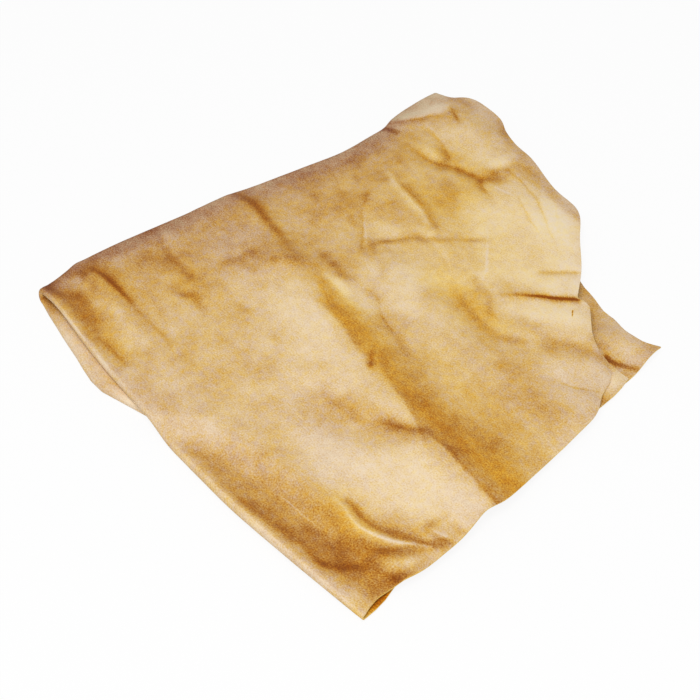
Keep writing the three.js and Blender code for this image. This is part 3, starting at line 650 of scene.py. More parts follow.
# Thin dark lines of painted shade along furrows, creases and the pleat's gap, each with a little relief too
SHADED_FURROWS: tuple[Stroke, ...] = (
    # The tail
    Stroke(((8, 264, 0.3), (14, 276, 0.6), (19, 287, 0.5), (23, 295, 0.2)), 1.4, 2.8),
    Stroke(((36, 259, 0.3), (49, 259, 0.6), (58, 261, 0.7), (66, 265, 0.7), (75, 269, 0.7), (86, 272, 0.7),
            (94, 278, 0.3)), 2.2, 4),
    Stroke(((36, 279, 0.3), (46, 277, 0.5), (56, 272, 0.5), (64, 268, 0.3)), 1.6, 3.2),
    Stroke(((89, 271, 0.5), (97, 267, 0.7), (105, 265, 0.3)), 1.4, 2.8),
    Stroke(((22, 305, 0.4), (30, 302, 0.8), (38, 299, 0.3)), 0.9, 2),
    # The far half
    Stroke(((46, 233, 0.2), (61, 230, 0.3), (78, 228, 0.5), (96, 223, 0.4), (112, 218, 0.2)), 1, 2),
    Stroke(((20, 204, 0.2), (30, 201, 0.5), (42, 196, 0.4), (48, 192, 0.1)), 0.8, 2),
    Stroke(((53, 209, 0.2), (62, 199, 0.4), (75, 187, 0.4), (88, 175, 0.6), (93, 171, 0.3)), 0.8, 2),
    Stroke(((93, 172, 0.1), (95, 183, 0.3), (101, 195, 0.4), (109, 208, 0.1), (115, 213, 0.3),
            (122, 220, 0.2), (130, 230, 0.3), (136, 240, 0.1)), 1.2, 2.4),
    Stroke(((92, 291, 0.5), (108, 290, 0.6), (125, 285, 0.7), (140, 278, 0.7), (155, 270, 0.5),
            (163, 266, 0.2)), 0.9, 2),
    Stroke(((117, 277, 0.3), (130, 272, 0.6), (145, 266, 0.5), (157, 262, 0.2)), 0.8, 2),
    Stroke(((117, 207, 0.2), (125, 206, 0.4), (133, 203, 0.4), (141, 199, 0.2)), 0.8, 2),
    Stroke(((129, 296, 0.1), (138, 290, 0.3), (148, 282, 0.3), (166, 264, 0.1)), 1, 2),
    Stroke(((176, 240, 0.3), (181, 247, 0.7), (190, 258, 0.9)), 1.4, 2.8),
    Stroke(((177, 210, 0.2), (182, 216, 0.9), (188, 223, 2.2), (196, 231, 3.2), (203, 237, 3.4),
            (207, 241, 2.8)), 1.3, 3),
    Stroke(((247, 186, 0.2), (256, 189, 0.7), (263, 193, 0.8), (270, 198, 0.5)), 0.8, 2),
    Stroke(((125, 151, 0.3), (132, 151, 0.5), (140, 147, 0.4), (150, 142, 0.7), (160, 140, 0.4)), 0.9, 2),
    # The main ridge
    Stroke(((4, 143, 0.2), (10, 145, 0.4), (18, 146, 0.7), (28, 144, 0.7), (38, 142, 0.6), (49, 141, 0.5),
            (58, 140, 0.3)), 2.4, 4),
    Stroke(((78, 134, 0.3), (88, 134, 0.4), (98, 132, 0.6), (108, 130, 0.6), (117, 127, 0.3)), 1.4, 2.8),
    Stroke(((164, 122, 0.4), (168, 118, 0.7), (173, 113, 0.7)), 1.2, 2.4),
    Stroke(((240, 105, 0.3), (252, 105, 0.7), (262, 104, 0.5), (276, 102, 0.4), (293, 100, 0.5)), 1.2, 2.4),
    Stroke(((213, 90, 0.3), (222, 97, 0.7), (230, 102, 0.4)), 1.6, 3),
    # The first pleat, and the hollow behind the front roll
    Stroke(((6, 35, 0.4), (14, 37, 0.9), (26, 37, 1), (38, 37, 0.9), (50, 36, 0.5), (62, 35, 0.4),
            (80, 35, 0.5), (93, 32, 0.2)), 1.4, 2.8),
    Stroke(((62, 5, 0.4), (70, 6, 0.8), (80, 5, 0.8), (86, 5, 0.2)), 1.5, 3),
    Stroke(((85, 23, 0.1), (95, 15, 0.2), (104, 8, 0.2), (110, 5, 0.1)), 1, 2),
    # The crumples and the band at the side edge
    Stroke(((243, 40, 0.3), (253, 39, 0.6), (261, 38.5, 0.6), (270, 41, 0.5), (279, 45.5, 0.4),
            (286, 49.5, 0.4), (295, 55, 0.3)), 1.2, 2.2),
    Stroke(((275, 27, 0.2), (281, 33, 0.4), (287, 43, 0.3), (291, 55, 0.3), (297, 65, 0.7)), 1.4, 3),
    Stroke(((200, -4, 0.3), (220, -2, 0.5), (240, 1, 0.5), (256, 3, 0.7), (264, 3, 1), (270, 4, 1.1),
            (277, 10, 0.7), (282, 16, 0.4), (288, 20, 0.2)), 2.6, 5),
    Stroke(((292, 24, 0.4), (297, 26, 0.5)), 2, 3),
    # A nick in the nap
    Stroke(((213, 232, 6), (215, 230, 6)), 0.4, 1.3),
)
# Thin pale lines of painted highlight along crests, each with a little relief too
HIGHLIGHTED_CRESTS: tuple[Stroke, ...] = (
    Stroke(((18, 1, 0.6), (40, 0, 0.8), (60, -1, 0.8), (80, -3, 0.4)), 0.9, 2),
    Stroke(((238, 36, 0.3), (244, 36, 0.6), (252, 35, 0.8), (261, 34, 0.9), (268, 36, 1), (275, 39, 1),
            (284, 45, 1), (294, 53, 0.5)), 0.9, 2),
    Stroke(((219, 14, 0.6), (230, 15, 1), (246, 16, 0.7)), 0.6, 1.8),
    Stroke(((48, 229, 0.2), (60, 227, 0.3), (80, 224, 0.4), (100, 219, 0.4), (112, 214, 0.2)), 1, 2),
    Stroke(((64, 197, 0.3), (77, 187, 0.7), (90, 177, 0.5)), 0.8, 1.8),
    Stroke(((130, 241, 0.3), (143, 229, 0.7), (152, 220, 0.7), (159, 211, 0.3)), 1, 2),
    Stroke(((287, 62, 0.5), (293, 64, 1), (298, 66, 0.7)), 1, 2),
    Stroke(((24, 282, 0.3), (34, 281, 0.5), (45, 279, 0.3)), 1, 2),
    Stroke(((38, 268, 0.2), (46, 266, 0.4), (54, 265, 0.2)), 1.6, 3),
    Stroke(((96, 274, 0.4), (104, 275, 0.7), (112, 276, 0.3)), 1.2, 2.2),
)


@dataclass
class Skin:
    """The folded skin, from its flat pattern to the dressed piece. Sizes are in millimetres."""

    # The leather, and the rounding of its cut edge where it turns by more than an angle in degrees
    thickness: float = 1.0
    edge_round: float = 0.3
    edge_round_steps: int = 2
    edge_turn: float = 55.0
    # The two folds: how close the layers lie, how they bend, and how far on the leaves a bend is felt
    layer_clearance: float = 0.7
    front_radius: float = 2.2
    front_ease: float = 16.0
    front_sag: float = 1.0
    front_reach_ease: float = 70.0
    spine_slack: float = 0.4
    spine_ease: float = 60.0
    spine_reach_ease: float = 40.0
    # How the upper pair comes down in front of the lower one and droops at the side edge
    drape: float = 22.0
    overhang: float = 12.0
    droop: float = 2.0
    # How the top leaf stands off, and the share of its waves that the leaves under it follow
    loft: float = 1.5
    loft_ease: float = 22.0
    least_loft: float = 0.5
    second_share: float = 0.55
    third_share: float = 0.15
    # Painted light and shade by slope, paler where the leather rises towards the key light and darker where
    # it falls away; and the painted shade and its mauve cast on the spine bend
    slope_shading_gain: float = 0.9
    slope_shading_darkest: float = -0.6
    slope_shading_palest: float = 0.4
    spine_shade: float = 0.6
    spine_shade_cast: float = 1.0
    # The level that marks are placed on, and how far they sway
    mark_level: float = 8.0
    sway: float = 1.2
    sway_size: float = 12.0
    sway_seed: int = 1
    # The height of the creases, and of the small wrinkles with their finer layers
    crease: float = 0.65
    wrinkle: float = 0.3
    wrinkle_size: float = 17.0
    wrinkle_fall: float = 0.9
    wrinkle_finer: float = 2.0
    wrinkle_layers: int = 3
    wrinkle_start: float = 4.0
    # The steps of the grid on each leaf and round each bend. Round the spine they are odd, so that the hinge
    # lies in the middle of a strip
    upper_steps: int = 176
    lower_steps: int = 28
    seen_steps: int = 163
    tongue_steps: int = 40
    crowding: float = 0.7
    spine_steps: int = 15
    front_steps: int = 10
    # Where the middle of the skin lies on its flat pattern, in metres both ways
    pattern_middle: float = 0.5
    # Half the width of each pair's front roll, over x
    upper_roll: Points = ((0, 1.2), (60, 1.4), (130, 1.9), (200, 2.1), (260, 1.8), (308, 1.1))
    lower_roll: Points = ((0, 1.3), (20, 1.9), (90, 2.3), (130, 2.0), (300, 1.6))
    # How far the spine lies in, over y
    spine: Points = (
        (0, 7.2), (10, 5.2), (20, 2.5), (33, 0), (60, 0), (100, 2.8), (140, 5.8), (165, 9), (190, 12),
        (220, 15.6), (245, 14), (258, 12.6), (268, 9), (280, 6.4), (300, 4.4), (312, 4.4),
    )
    # How far the front bend of each pair stands out, over x
    upper_front: Points = (
        (0, -1), (20, -1), (40, 0.5), (60, 2.3), (90, 4.4), (110, 5.2), (130, 5.6), (150, 6.8), (180, 7.2),
        (210, 7), (250, 4.2), (280, 1.2), (308, -2.2),
    )
    lower_front: Points = (
        (0, 0), (8, 1.5), (25, 3.8), (40, 6), (60, 8.6), (72, 10.8), (82, 12), (90, 11.6), (100, 8.8),
        (110, 6), (120, 3.2), (130, -0.4), (150, -12), (180, -26), (210, -36), (250, -40), (300, -40),
    )
    # Worked out while the skin is laid out and folded
    x: np.ndarray = field(default=None, init=False)
    y: np.ndarray = field(default=None, init=False)
    to_side: np.ndarray = field(default=None, init=False)
    spine_turn: np.ndarray = field(default=None, init=False)
    front_turn: np.ndarray = field(default=None, init=False)
    sways: np.ndarray = field(default=None, init=False)
    wrinkles: np.ndarray = field(default=None, init=False)
    view: tuple[np.ndarray, ...] = field(default=(), init=False)

    @property
    def pitch(self) -> float:
        """From the middle of one leaf to the middle of the next, where they lie close."""
        return self.thickness + self.layer_clearance

    @property
    def spine_radius(self) -> float:
        """The bend of a pair of leaves at the spine."""
        return self.front_radius + self.pitch / 2 + self.spine_slack

    @property
    def top(self) -> np.ndarray:
        """The share of the upper pair at every point: 0 under the spine bend and 1 over it."""
        return (1 + np.sin(self.spine_turn)) / 2

    @property
    def outer(self) -> np.ndarray:
        """The share of a pair's outside leaf at every point: 0 before the front bend and 1 past it."""
        return (1 + np.sin(self.front_turn)) / 2

    @property
    def at_spine(self) -> np.ndarray:
        """How near every point is to the middle of the spine bend: 1 there, and 0 on the leaves."""
        return np.cos(self.spine_turn)

    def half_gap(self, roll: Points, x: np.ndarray, y: np.ndarray) -> np.ndarray:
        """Half the distance between the two leaves of a pair.

        Args:
            roll: half the width of the pair's front roll, over x.
            x: distance from the spine.
            y: distance from the pair's front bend.

        Returns:
            Half the distance between the middles of the two leaves.
        """
        return mix(np.full(y.shape, self.pitch / 2), along(roll, x), bell(y, self.front_ease))

    def stops(
        self, lower: int, bend: int, upper: int, crowding: float = 0.0
    ) -> tuple[np.ndarray, np.ndarray]:
        """The lines of the grid in one direction, from one cut edge over the bend to the other.

        Args:
            lower: steps on the leaf before the bend.
            bend: steps round the bend.
            upper: steps on the leaf after the bend.
            crowding: how much closer the lines before the bend lie towards the cut edge.

        Returns:
            The turn at each line, and its share of the way from the bend to the cut edge.
        """
        turn = np.concatenate([
            np.full(lower, -QUARTER_TURN),
            np.linspace(-QUARTER_TURN, QUARTER_TURN, bend + 1),
            np.full(upper, QUARTER_TURN),
        ])
        even = np.linspace(1, 0, lower, endpoint=False)
        share = np.concatenate([
            mix(even, even * (2 - even), crowding), np.zeros(bend + 1), np.linspace(0, 1, upper + 1)[1:],
        ])
        return turn, share

    def pattern(self) -> tuple[np.ndarray, np.ndarray]:
        """Work out the grid of the whole skin, with its sways and wrinkles.

        Returns:
            Where each grid point lies on the flat pattern, both ways from the middle of the skin.
        """
        spine_turn, s = self.stops(self.tongue_steps, self.spine_steps, self.seen_steps, self.crowding)
        front_turn, t = self.stops(self.lower_steps, self.front_steps, self.upper_steps)
        self.to_side, to_far = np.meshgrid(s, t)
        self.spine_turn, self.front_turn = np.meshgrid(spine_turn, front_turn)
        plans = {layer: leaf.plan(self.to_side, to_far) for layer, leaf in LEAVES.items()}
        self.x, self.y = (
            mix(
                mix(plans[Layer.THIRD][axis], plans[Layer.BOTTOM][axis], self.outer),
                mix(plans[Layer.SECOND][axis], plans[Layer.TOP][axis], self.outer),
                self.top,
            )
            for axis in (0, 1)
        )
        u = self.spine_radius * self.spine_turn + np.sign(self.spine_turn) * self.x
        v = self.front_radius * self.front_turn + np.sign(self.front_turn) * self.y
        places = list(zip(u.ravel(), v.ravel()))
        noise.seed_set(self.sway_seed)
        sways = [noise.noise_vector(Vector((a, b, 0.0)) / self.sway_size) for a, b in places]
        self.sways = self.sway * np.array(sways).reshape(*u.shape, 3)
        layers = (self.wrinkle_fall, self.wrinkle_finer, self.wrinkle_layers)
        wrinkles = [
            noise.fractal(Vector((a, b, self.wrinkle_start)) / self.wrinkle_size, *layers) for a, b in places
        ]
        self.wrinkles = np.array(wrinkles).reshape(u.shape)
        return u, v

    def lay_out(self) -> bpy.types.Object:
        """The flat grid of the whole skin, with its pattern as a UV map.

        Returns:
            The skin's object, flat on its pattern.
        """
        u, v = self.pattern()
        bm = bmesh.new()
        rows, columns = u.shape
        bmesh.ops.create_grid(bm, x_segments=columns - 1, y_segments=rows - 1, size=1.0)
        uv_layer = bm.loops.layers.uv.new("pattern")
        bm.verts.ensure_lookup_table()
        for vert, flat_u, flat_v in zip(bm.verts, u.ravel(), v.ravel()):
            vert.co = Vector((flat_u, flat_v, 0.0)) * MM
        middle = Vector((self.pattern_middle, self.pattern_middle))
        for face in bm.faces:
            face.smooth = True
            for loop in face.loops:
                loop[uv_layer].uv = loop.vert.co.xy + middle
        mesh = bpy.data.meshes.new("chamois_skin")
        bm.to_mesh(mesh)
        bm.free()
        skin = bpy.data.objects.new("chamois_skin", mesh)
        bpy.context.scene.collection.objects.link(skin)
        return skin

    def seen(self, place: np.ndarray) -> tuple[np.ndarray, np.ndarray]:
        """Where folded points show on one level through the leaf in view, from where the photo was taken.

        Creases and marks are placed by it, with a small sway of their own.

        Args:
            place: the folded points.

        Returns:
            x and y of each point on that level.
        """
        lifted = (place[..., 2] - self.mark_level) / math.tan(VIEW_RISE)
        x = place[..., 0] - lifted * math.sin(VIEW_TURN) + self.sways[..., 0]
        y = place[..., 1] + lifted * math.cos(VIEW_TURN) + self.sways[..., 1]
        return x, y

    def folded(self, creases: np.ndarray | float) -> np.ndarray:
        """The middle of the leather at every grid point, once both folds are made.

        Args:
            creases: the small relief of the leaf in view, over its swells.

        Returns:
            x, y and z of each point, from the middle of the skin on the surface that it lies on.
        """
        x, y, top, outer = self.x, self.y, self.top, self.outer
        half_gap = mix(self.half_gap(self.lower_roll, x, y), self.half_gap(self.upper_roll, x, y), top)
        roll = mix(along(self.lower_roll, x), along(self.upper_roll, x), top)
        radius = self.spine_radius + half_gap * np.sin(self.front_turn)
        bend_height = self.thickness / 2 + half_gap + self.spine_radius

        reach_ease = bell(y, self.front_reach_ease)
        lower_reach = along(self.lower_front, x)
        upper_reach = along(self.upper_front, x)
        behind = y + (lower_reach - upper_reach) * reach_ease
        stack = 2 * self.half_gap(self.lower_roll, x, np.maximum(behind, 0.0)) + self.pitch
        raised = ease((behind + self.drape) / self.drape)
        sag = self.front_sag * raised * bell(y, self.front_ease)
        rest_height = self.thickness / 2 + stack * raised + half_gap - sag
        settle = (bend_height + self.spine_radius - rest_height) * (1 - bell(x, self.spine_ease))
        from_side = (1 - self.to_side) * LEAVES[Layer.TOP].side[0][1]
        droop = self.droop * ease(1 - from_side / self.overhang) * raised

        swell = self.resting(self.loft * (1 - bell(x, self.loft_ease)) + painted(SWELLS, x, y))
        creased = self.resting(swell + creases)
        share = mix(self.third_share * (1 - outer), mix(self.second_share, 1.0, outer), top)
        wave = share * mix(swell, creased, top * outer)
        tongue = (1 - top) * outer * painted(TONGUE, x, y)
        return np.stack(
            [
                x - radius * np.cos(self.spine_turn) + along(self.spine, y) * bell(x, self.spine_reach_ease),
                y - roll * np.cos(self.front_turn) - mix(lower_reach, upper_reach, top) * reach_ease,
                bend_height + radius * np.sin(self.spine_turn) - top * (settle + droop) + wave + tongue,
            ],
            axis=-1,
        )

    def resting(self, wave: np.ndarray) -> np.ndarray:
        """A wave that never sinks into what lies under the sheet."""
        under = np.minimum(wave - self.least_loft, 0.0)
        return np.where(wave > self.least_loft, wave, self.least_loft * np.exp(under))

    def tone(self, place: np.ndarray) -> np.ndarray:
        """How pale every point is painted: below 0 golden, above it cream.

        Slopes that rise towards the front, where the key light stands, are painted paler and slopes that fall
        away
        from it darker: painted light and shade. The marks and the painted shade of the spine bend are added.

        Args:
            place: the folded points.

        Returns:
            The tone of each point.
        """
        # Painted light and shade: each point's slope towards the key light at the front
        rise = np.gradient(place[..., 2], axis=0)
        run = np.gradient(place[..., 1], axis=0)
        lean = rise / np.maximum(np.hypot(rise, run), TINY)
        nap = np.clip(self.slope_shading_gain * lean, self.slope_shading_darkest, self.slope_shading_palest) * self.top * self.outer
        return nap + self.marked(TONES) - self.spine_shade * self.at_spine * self.outer

    def cast(self) -> np.ndarray:
        """The cast at every point: below 0 yellow, above it mauve, with the painted mauve of shade on the
        spine bend.
        """
        return self.marked(CASTS) + self.spine_shade_cast * self.at_spine * (1 - self.top) * self.outer

    def marked(self, marks: dict[Place, tuple[Stroke, ...]]) -> np.ndarray:
        """Strokes, each kept to its own part of the folded skin.

        Args:
            marks: the strokes of each part.

        Returns:
            Their sum at every point.
        """
        shares = {
            Place.TOP: self.top * self.outer,
            Place.SECOND: self.top * (1 - self.outer),
            Place.INSIDE: 1 - self.outer,
            Place.BOTTOM: (1 - self.top) * self.outer,
            Place.LOWER: 1 - self.top,
        }
        return sum(shares[place] * painted(strokes, *self.view) for place, strokes in marks.items())

    def mark(self, skin: bpy.types.Object, folded: np.ndarray) -> None:
        """Give the skin its tones, casts and thin lines as values at its points: much of the tone is painted
        light and shade, and the thin lines are painted shade in the furrows and painted highlight on the
        crests.

        Args:
            skin: the skin.
            folded: the folded points.
        """
        in_view = self.top * self.outer
        furrow, furrow_shade_and_depth = thin_lines(SHADED_FURROWS, *self.view)
        crest, crest_highlight_and_height = thin_lines(HIGHLIGHTED_CRESTS, *self.view)
        for name, values in (
            ("tone", self.tone(folded)),
            ("cast", self.cast()),
            ("furrow", furrow),
            ("furrow_shade_and_depth", furrow_shade_and_depth * in_view),
            ("crest", crest),
            ("crest_highlight_and_height", crest_highlight_and_height * in_view),
        ):
            marks = skin.data.attributes.new(name, "FLOAT", "POINT")
            marks.data.foreach_set("value", values.ravel())

    def thicken(self, skin: bpy.types.Object) -> None:
        """Give the skin its thickness, with softly rounded cut edges."""
        wall = skin.modifiers.new("thickness", "SOLIDIFY")
        wall.thickness = self.thickness * MM
        wall.offset = 0.0
        wall.use_even_offset = True
        wall.material_offset = list(Face).index(Face.INNER)
        wall.material_offset_rim = list(Face).index(Face.CUT)
        rounding = skin.modifiers.new("soft edges", "BEVEL")
        rounding.width = self.edge_round * MM
        rounding.segments = self.edge_round_steps
        rounding.limit_method = "ANGLE"
        rounding.angle_limit = math.radians(self.edge_turn)

    def build(self, middle: Vector) -> bpy.types.Object:
        """Lay the skin out, fold it, give it its tones and lines, and give it its thickness.

        Args:
            middle: the middle of the skin in the part's frame, in metres.

        Returns:
            The folded skin.
        """
        skin = self.lay_out()
        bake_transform(skin)
        creases = self.crease * painted(CREASES, *self.seen(self.folded(0.0)))
        folded = self.folded(creases + self.wrinkle * self.wrinkles)
        self.view = self.seen(folded)
        place = folded * MM + np.array(middle)
        skin.data.vertices.foreach_set("co", place.reshape(-1))
        skin.data.update()
        self.mark(skin, folded)
        self.thicken(skin)
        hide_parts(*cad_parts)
        return skin


class Face(Enum):
    """The faces of the leather, in the order of their materials.

    Each has how much paler it is than the outer nap, its cast, and how strongly the skin's painted marks,
    much of them painted light and shade, show on it.
    """

    OUTER = (0.0, 0.0, 1.0)
    INNER = (-0.3, 0.0, 1.0)
    # The cut is painted paler, partly as painted light on edges that turn away from the key light
    CUT = (0.5, -0.8, 0.3)


@dataclass(frozen=True)
class Patches:
    """A noise along the flat pattern of the leather, centred on 0.

    size is that of its patches in millimetres, detail how many finer noises it holds, start how far along the
    pattern it begins in metres, and gain how strongly it shows.
    """

    size: float
    detail: float
    start: float
    gain: float
    roughness: float = 0.62
    middle: float = 0.5


@dataclass(frozen=True)
class ValueNodes:
    """The nodes of one tree that work out values over a surface."""

    tree: bpy.types.NodeTree

    def combined(self, operation: str, *parts: bpy.types.NodeSocket | float) -> bpy.types.NodeSocket:
        """Values put through one operation.

        Args:
            operation: the operation's name.
            parts: the values, each a socket or a number.

        Returns:
            The result.
        """
        node = self.tree.nodes.new("ShaderNodeMath")
        node.operation = operation
        for socket, part in zip(node.inputs, parts):
            if isinstance(part, bpy.types.NodeSocket):
                self.tree.links.new(part, socket)
            else:
                socket.default_value = part
        return node.outputs["Value"]

    def marks(self, name: str) -> bpy.types.NodeSocket:
        """One of the values that the skin has at its points.

        Args:
            name: the value's name.

        Returns:
            The value.
        """
        attribute = self.tree.nodes.new("ShaderNodeAttribute")
        attribute.attribute_name = name
        return attribute.outputs["Fac"]

    def thin(self, across: str, strength: str) -> bpy.types.NodeSocket:
        """The profile of the skin's thin lines.

        Args:
            across: the name of how far across its line a point lies.
            strength: the name of how strong the line is there.

        Returns:
            The lines' value, 0 away from them.
        """
        distance = self.marks(across)
        squared = self.combined("MULTIPLY", distance, distance)
        fall = self.combined("EXPONENT", self.combined("MULTIPLY", squared, -1.0))
        return self.combined("MULTIPLY", fall, self.marks(strength))

    def patchy(self, patches: Patches) -> bpy.types.NodeSocket:
        """A noise along the flat pattern.

        Args:
            patches: the noise's sizes.

        Returns:
            The noise's value, centred on 0.
        """
        pattern = self.tree.nodes.new("ShaderNodeUVMap")
        pattern.uv_map = "pattern"
        moved = self.tree.nodes.new("ShaderNodeVectorMath")
        moved.operation = "ADD"
        moved.inputs[1].default_value = (patches.start, patches.start, 0.0)
        self.tree.links.new(pattern.outputs["UV"], moved.inputs[0])
        cloud = self.tree.nodes.new("ShaderNodeTexNoise")
        cloud.inputs["Scale"].default_value = 1.0 / (patches.size * MM)
        cloud.inputs["Detail"].default_value = patches.detail
        cloud.inputs["Roughness"].default_value = patches.roughness
        self.tree.links.new(moved.outputs["Vector"], cloud.inputs["Vector"])
        return self.combined("SUBTRACT", cloud.outputs["Fac"], patches.middle)


@dataclass(frozen=True)
class ChamoisFinish:
    """The napped surface of the leather. Colours are linear."""

    # The colours from the darkest tone up, and the tone from one to the next
    colours: tuple[Triple, ...] = (
        (0.24, 0.065, 0.008),
        (0.42, 0.16, 0.022),
        (0.63, 0.36, 0.097),
        (0.75, 0.52, 0.24),
        (0.86, 0.665, 0.415),
        (0.90, 0.74, 0.51),
    )
    darkest: float = -2.13
    tone_step: float = 0.75
    # The patches of the tone
    clouds: Patches = Patches(26.0, 5.0, 0.0, gain=2.0)
    mottle: Patches = Patches(6.0, 3.0, 0.5, gain=0.95)
    grain: Patches = Patches(0.9, 2.0, 0.3, gain=3.0)
    # The patches of the cast, and how they calm down where the tone is pale
    flecks: tuple[Patches, ...] = (
        Patches(26.0, 3.0, 1.1, gain=0.6), Patches(6.0, 3.0, 1.7, gain=1.6), Patches(3.0, 1.0, 0.7, gain=1.7),
    )
    calm: float = 0.35
    calm_slope: float = -0.7
    calm_start: float = 0.75
    # How the cast turns the red, and the most blue that it may bring beside the green
    red_cast: float = -0.12
    bluest: float = 0.44
    bluest_gain: float = 0.38
    # How strongly the thin lines, painted highlight on the crests and painted shade in the furrows, show in
    # the tone, the cast and the relief
    line_light_and_shade: float = 0.6
    line_cast: float = 0.4
    line_relief: float = 0.15
    # The small relief of the nap, with its height in millimetres
    cloud_relief: float = 2.0
    relief: float = 0.5
    relief_height: float = 0.6
    roughness: float = 0.95
    specular: float = 0.15
    sheen: float = 0.08
    face_inputs: tuple[str, ...] = ("Paler", "Cast", "Marked")

    def toned(self, nodes: ValueNodes, tone: bpy.types.NodeSocket) -> bpy.types.NodeSocket:
        """The colour of a tone.

        Args:
            nodes: the nodes that it is added to.
            tone: the tone.

        Returns:
            The colour.
        """
        ramp = nodes.tree.nodes.new("ShaderNodeValToRGB")
        stops = ramp.color_ramp.elements
        last = len(self.colours) - 1
        stops[0].color = (*self.colours[0], 1)
        stops[1].color = (*self.colours[last], 1)
        for index in range(1, last):
            stops.new(index / last).color = (*self.colours[index], 1)
        span = self.tone_step * last
        share = nodes.combined("MULTIPLY_ADD", tone, 1 / span, -self.darkest / span)
        nodes.tree.links.new(share, ramp.inputs["Fac"])
        return ramp.outputs["Color"]

    def flecked(
        self, nodes: ValueNodes, cast: bpy.types.NodeSocket, tone: bpy.types.NodeSocket
    ) -> bpy.types.NodeSocket:
        """A cast with the flecks of the nap, which are calmer where the tone is pale.

        Args:
            nodes: the nodes that it is added to.
            cast: the cast without flecks.
            tone: the tone.

        Returns:
            The cast.
        """
        sloped = nodes.combined("MULTIPLY_ADD", tone, self.calm_slope, self.calm_start)
        lively = nodes.combined("MINIMUM", nodes.combined("MAXIMUM", sloped, self.calm), 1.0)
        for patches in self.flecks:
            flecks = nodes.combined("MULTIPLY", nodes.patchy(patches), lively)
            cast = nodes.combined("MULTIPLY_ADD", flecks, patches.gain, cast)
        return cast

    def tinted(
        self, nodes: ValueNodes, colour: bpy.types.NodeSocket, cast: bpy.types.NodeSocket
    ) -> bpy.types.NodeSocket:
        """A colour turned by a cast.

        Args:
            nodes: the nodes that it is added to.
            colour: the colour.
            cast: the cast: below 0 yellow, above it mauve.

        Returns:
            The colour with its cast.
        """
        links = nodes.tree.links
        parts = nodes.tree.nodes.new("ShaderNodeSeparateColor")
        whole = nodes.tree.nodes.new("ShaderNodeCombineColor")
        links.new(colour, parts.inputs["Color"])
        red, green, blue = (parts.outputs[name] for name in ("Red", "Green", "Blue"))
        redder = nodes.combined("EXPONENT", nodes.combined("MULTIPLY", cast, self.red_cast))
        bluer = nodes.combined("MULTIPLY", blue, nodes.combined("EXPONENT", cast))
        limit = nodes.combined("MULTIPLY_ADD", green, self.bluest_gain, self.bluest)
        links.new(nodes.combined("MULTIPLY", red, redder), whole.inputs["Red"])
        links.new(green, whole.inputs["Green"])
        bluest = nodes.combined("MULTIPLY", green, limit)
        links.new(nodes.combined("MINIMUM", bluer, bluest), whole.inputs["Blue"])
        return whole.outputs["Color"]

    def nap(self) -> bpy.types.NodeTree:
        """The colour and the small relief of the nap, shared by the faces of the leather, with the painted
        light and shade that the skin's values carry.

        Returns:
            The group of nodes.
        """
        tree = bpy.data.node_groups.new("chamois nap", "ShaderNodeTree")
        for name in self.face_inputs:
            tree.interface.new_socket(name, in_out="INPUT", socket_type="NodeSocketFloat")
        tree.interface.new_socket("Colour", in_out="OUTPUT", socket_type="NodeSocketColor")
        tree.interface.new_socket("Normal", in_out="OUTPUT", socket_type="NodeSocketVector")
        given = tree.nodes.new("NodeGroupInput").outputs
        out = tree.nodes.new("NodeGroupOutput").inputs
        nodes = ValueNodes(tree)
        clouds, mottle, grain = (nodes.patchy(patches) for patches in (self.clouds, self.mottle, self.grain))
        # The thin lines: painted highlight on the crests less painted shade in the furrows, with a little
        # relief
        crests = nodes.thin("crest", "crest_highlight_and_height")
        lines = nodes.combined("SUBTRACT", crests, nodes.thin("furrow", "furrow_shade_and_depth"))

        tone = nodes.combined("MULTIPLY_ADD", nodes.marks("tone"), given["Marked"], given["Paler"])
        for part, gain in (
            (clouds, self.clouds.gain),
            (mottle, self.mottle.gain),
            (grain, self.grain.gain),
            (lines, self.line_light_and_shade),
        ):
            tone = nodes.combined("MULTIPLY_ADD", part, gain, tone)
        cast = nodes.combined("MULTIPLY_ADD", nodes.marks("cast"), given["Marked"], given["Cast"])
        cast = nodes.combined("MULTIPLY_ADD", lines, self.line_cast, cast)
        cast = self.flecked(nodes, cast, tone)
        tree.links.new(self.tinted(nodes, self.toned(nodes, tone), cast), out["Colour"])

        relief = tree.nodes.new("ShaderNodeBump")
        relief.inputs["Strength"].default_value = self.relief
        relief.inputs["Distance"].default_value = self.relief_height * MM
        rough = nodes.combined("MULTIPLY_ADD", clouds, self.cloud_relief, grain)
        height = nodes.combined("MULTIPLY_ADD", lines, self.line_relief, rough)
        tree.links.new(height, relief.inputs["Height"])
        tree.links.new(relief.outputs["Normal"], out["Normal"])
        return tree

    def materials(self) -> list[bpy.types.Material]:
        """The leather's materials.

        Returns:
            One material to each face.
        """
        nap = self.nap()
        made = []
        for face in Face:
            material = bpy.data.materials.new(f"chamois_{face.name.lower()}")
            material.use_nodes = True
            nodes, links = material.node_tree.nodes, material.node_tree.links
            shader = nodes["Principled BSDF"]
            shader.inputs["Roughness"].default_value = self.roughness
            shader.inputs["Specular IOR Level"].default_value = self.specular
            shader.inputs["Sheen Weight"].default_value = self.sheen
            shared = nodes.new("ShaderNodeGroup")
            shared.node_tree = nap
            for name, value in zip(self.face_inputs, face.value):
                shared.inputs[name].default_value = value
            links.new(shared.outputs["Colour"], shader.inputs["Base Color"])
            links.new(shared.outputs["Normal"], shader.inputs["Normal"])
            made.append(material)
        return made


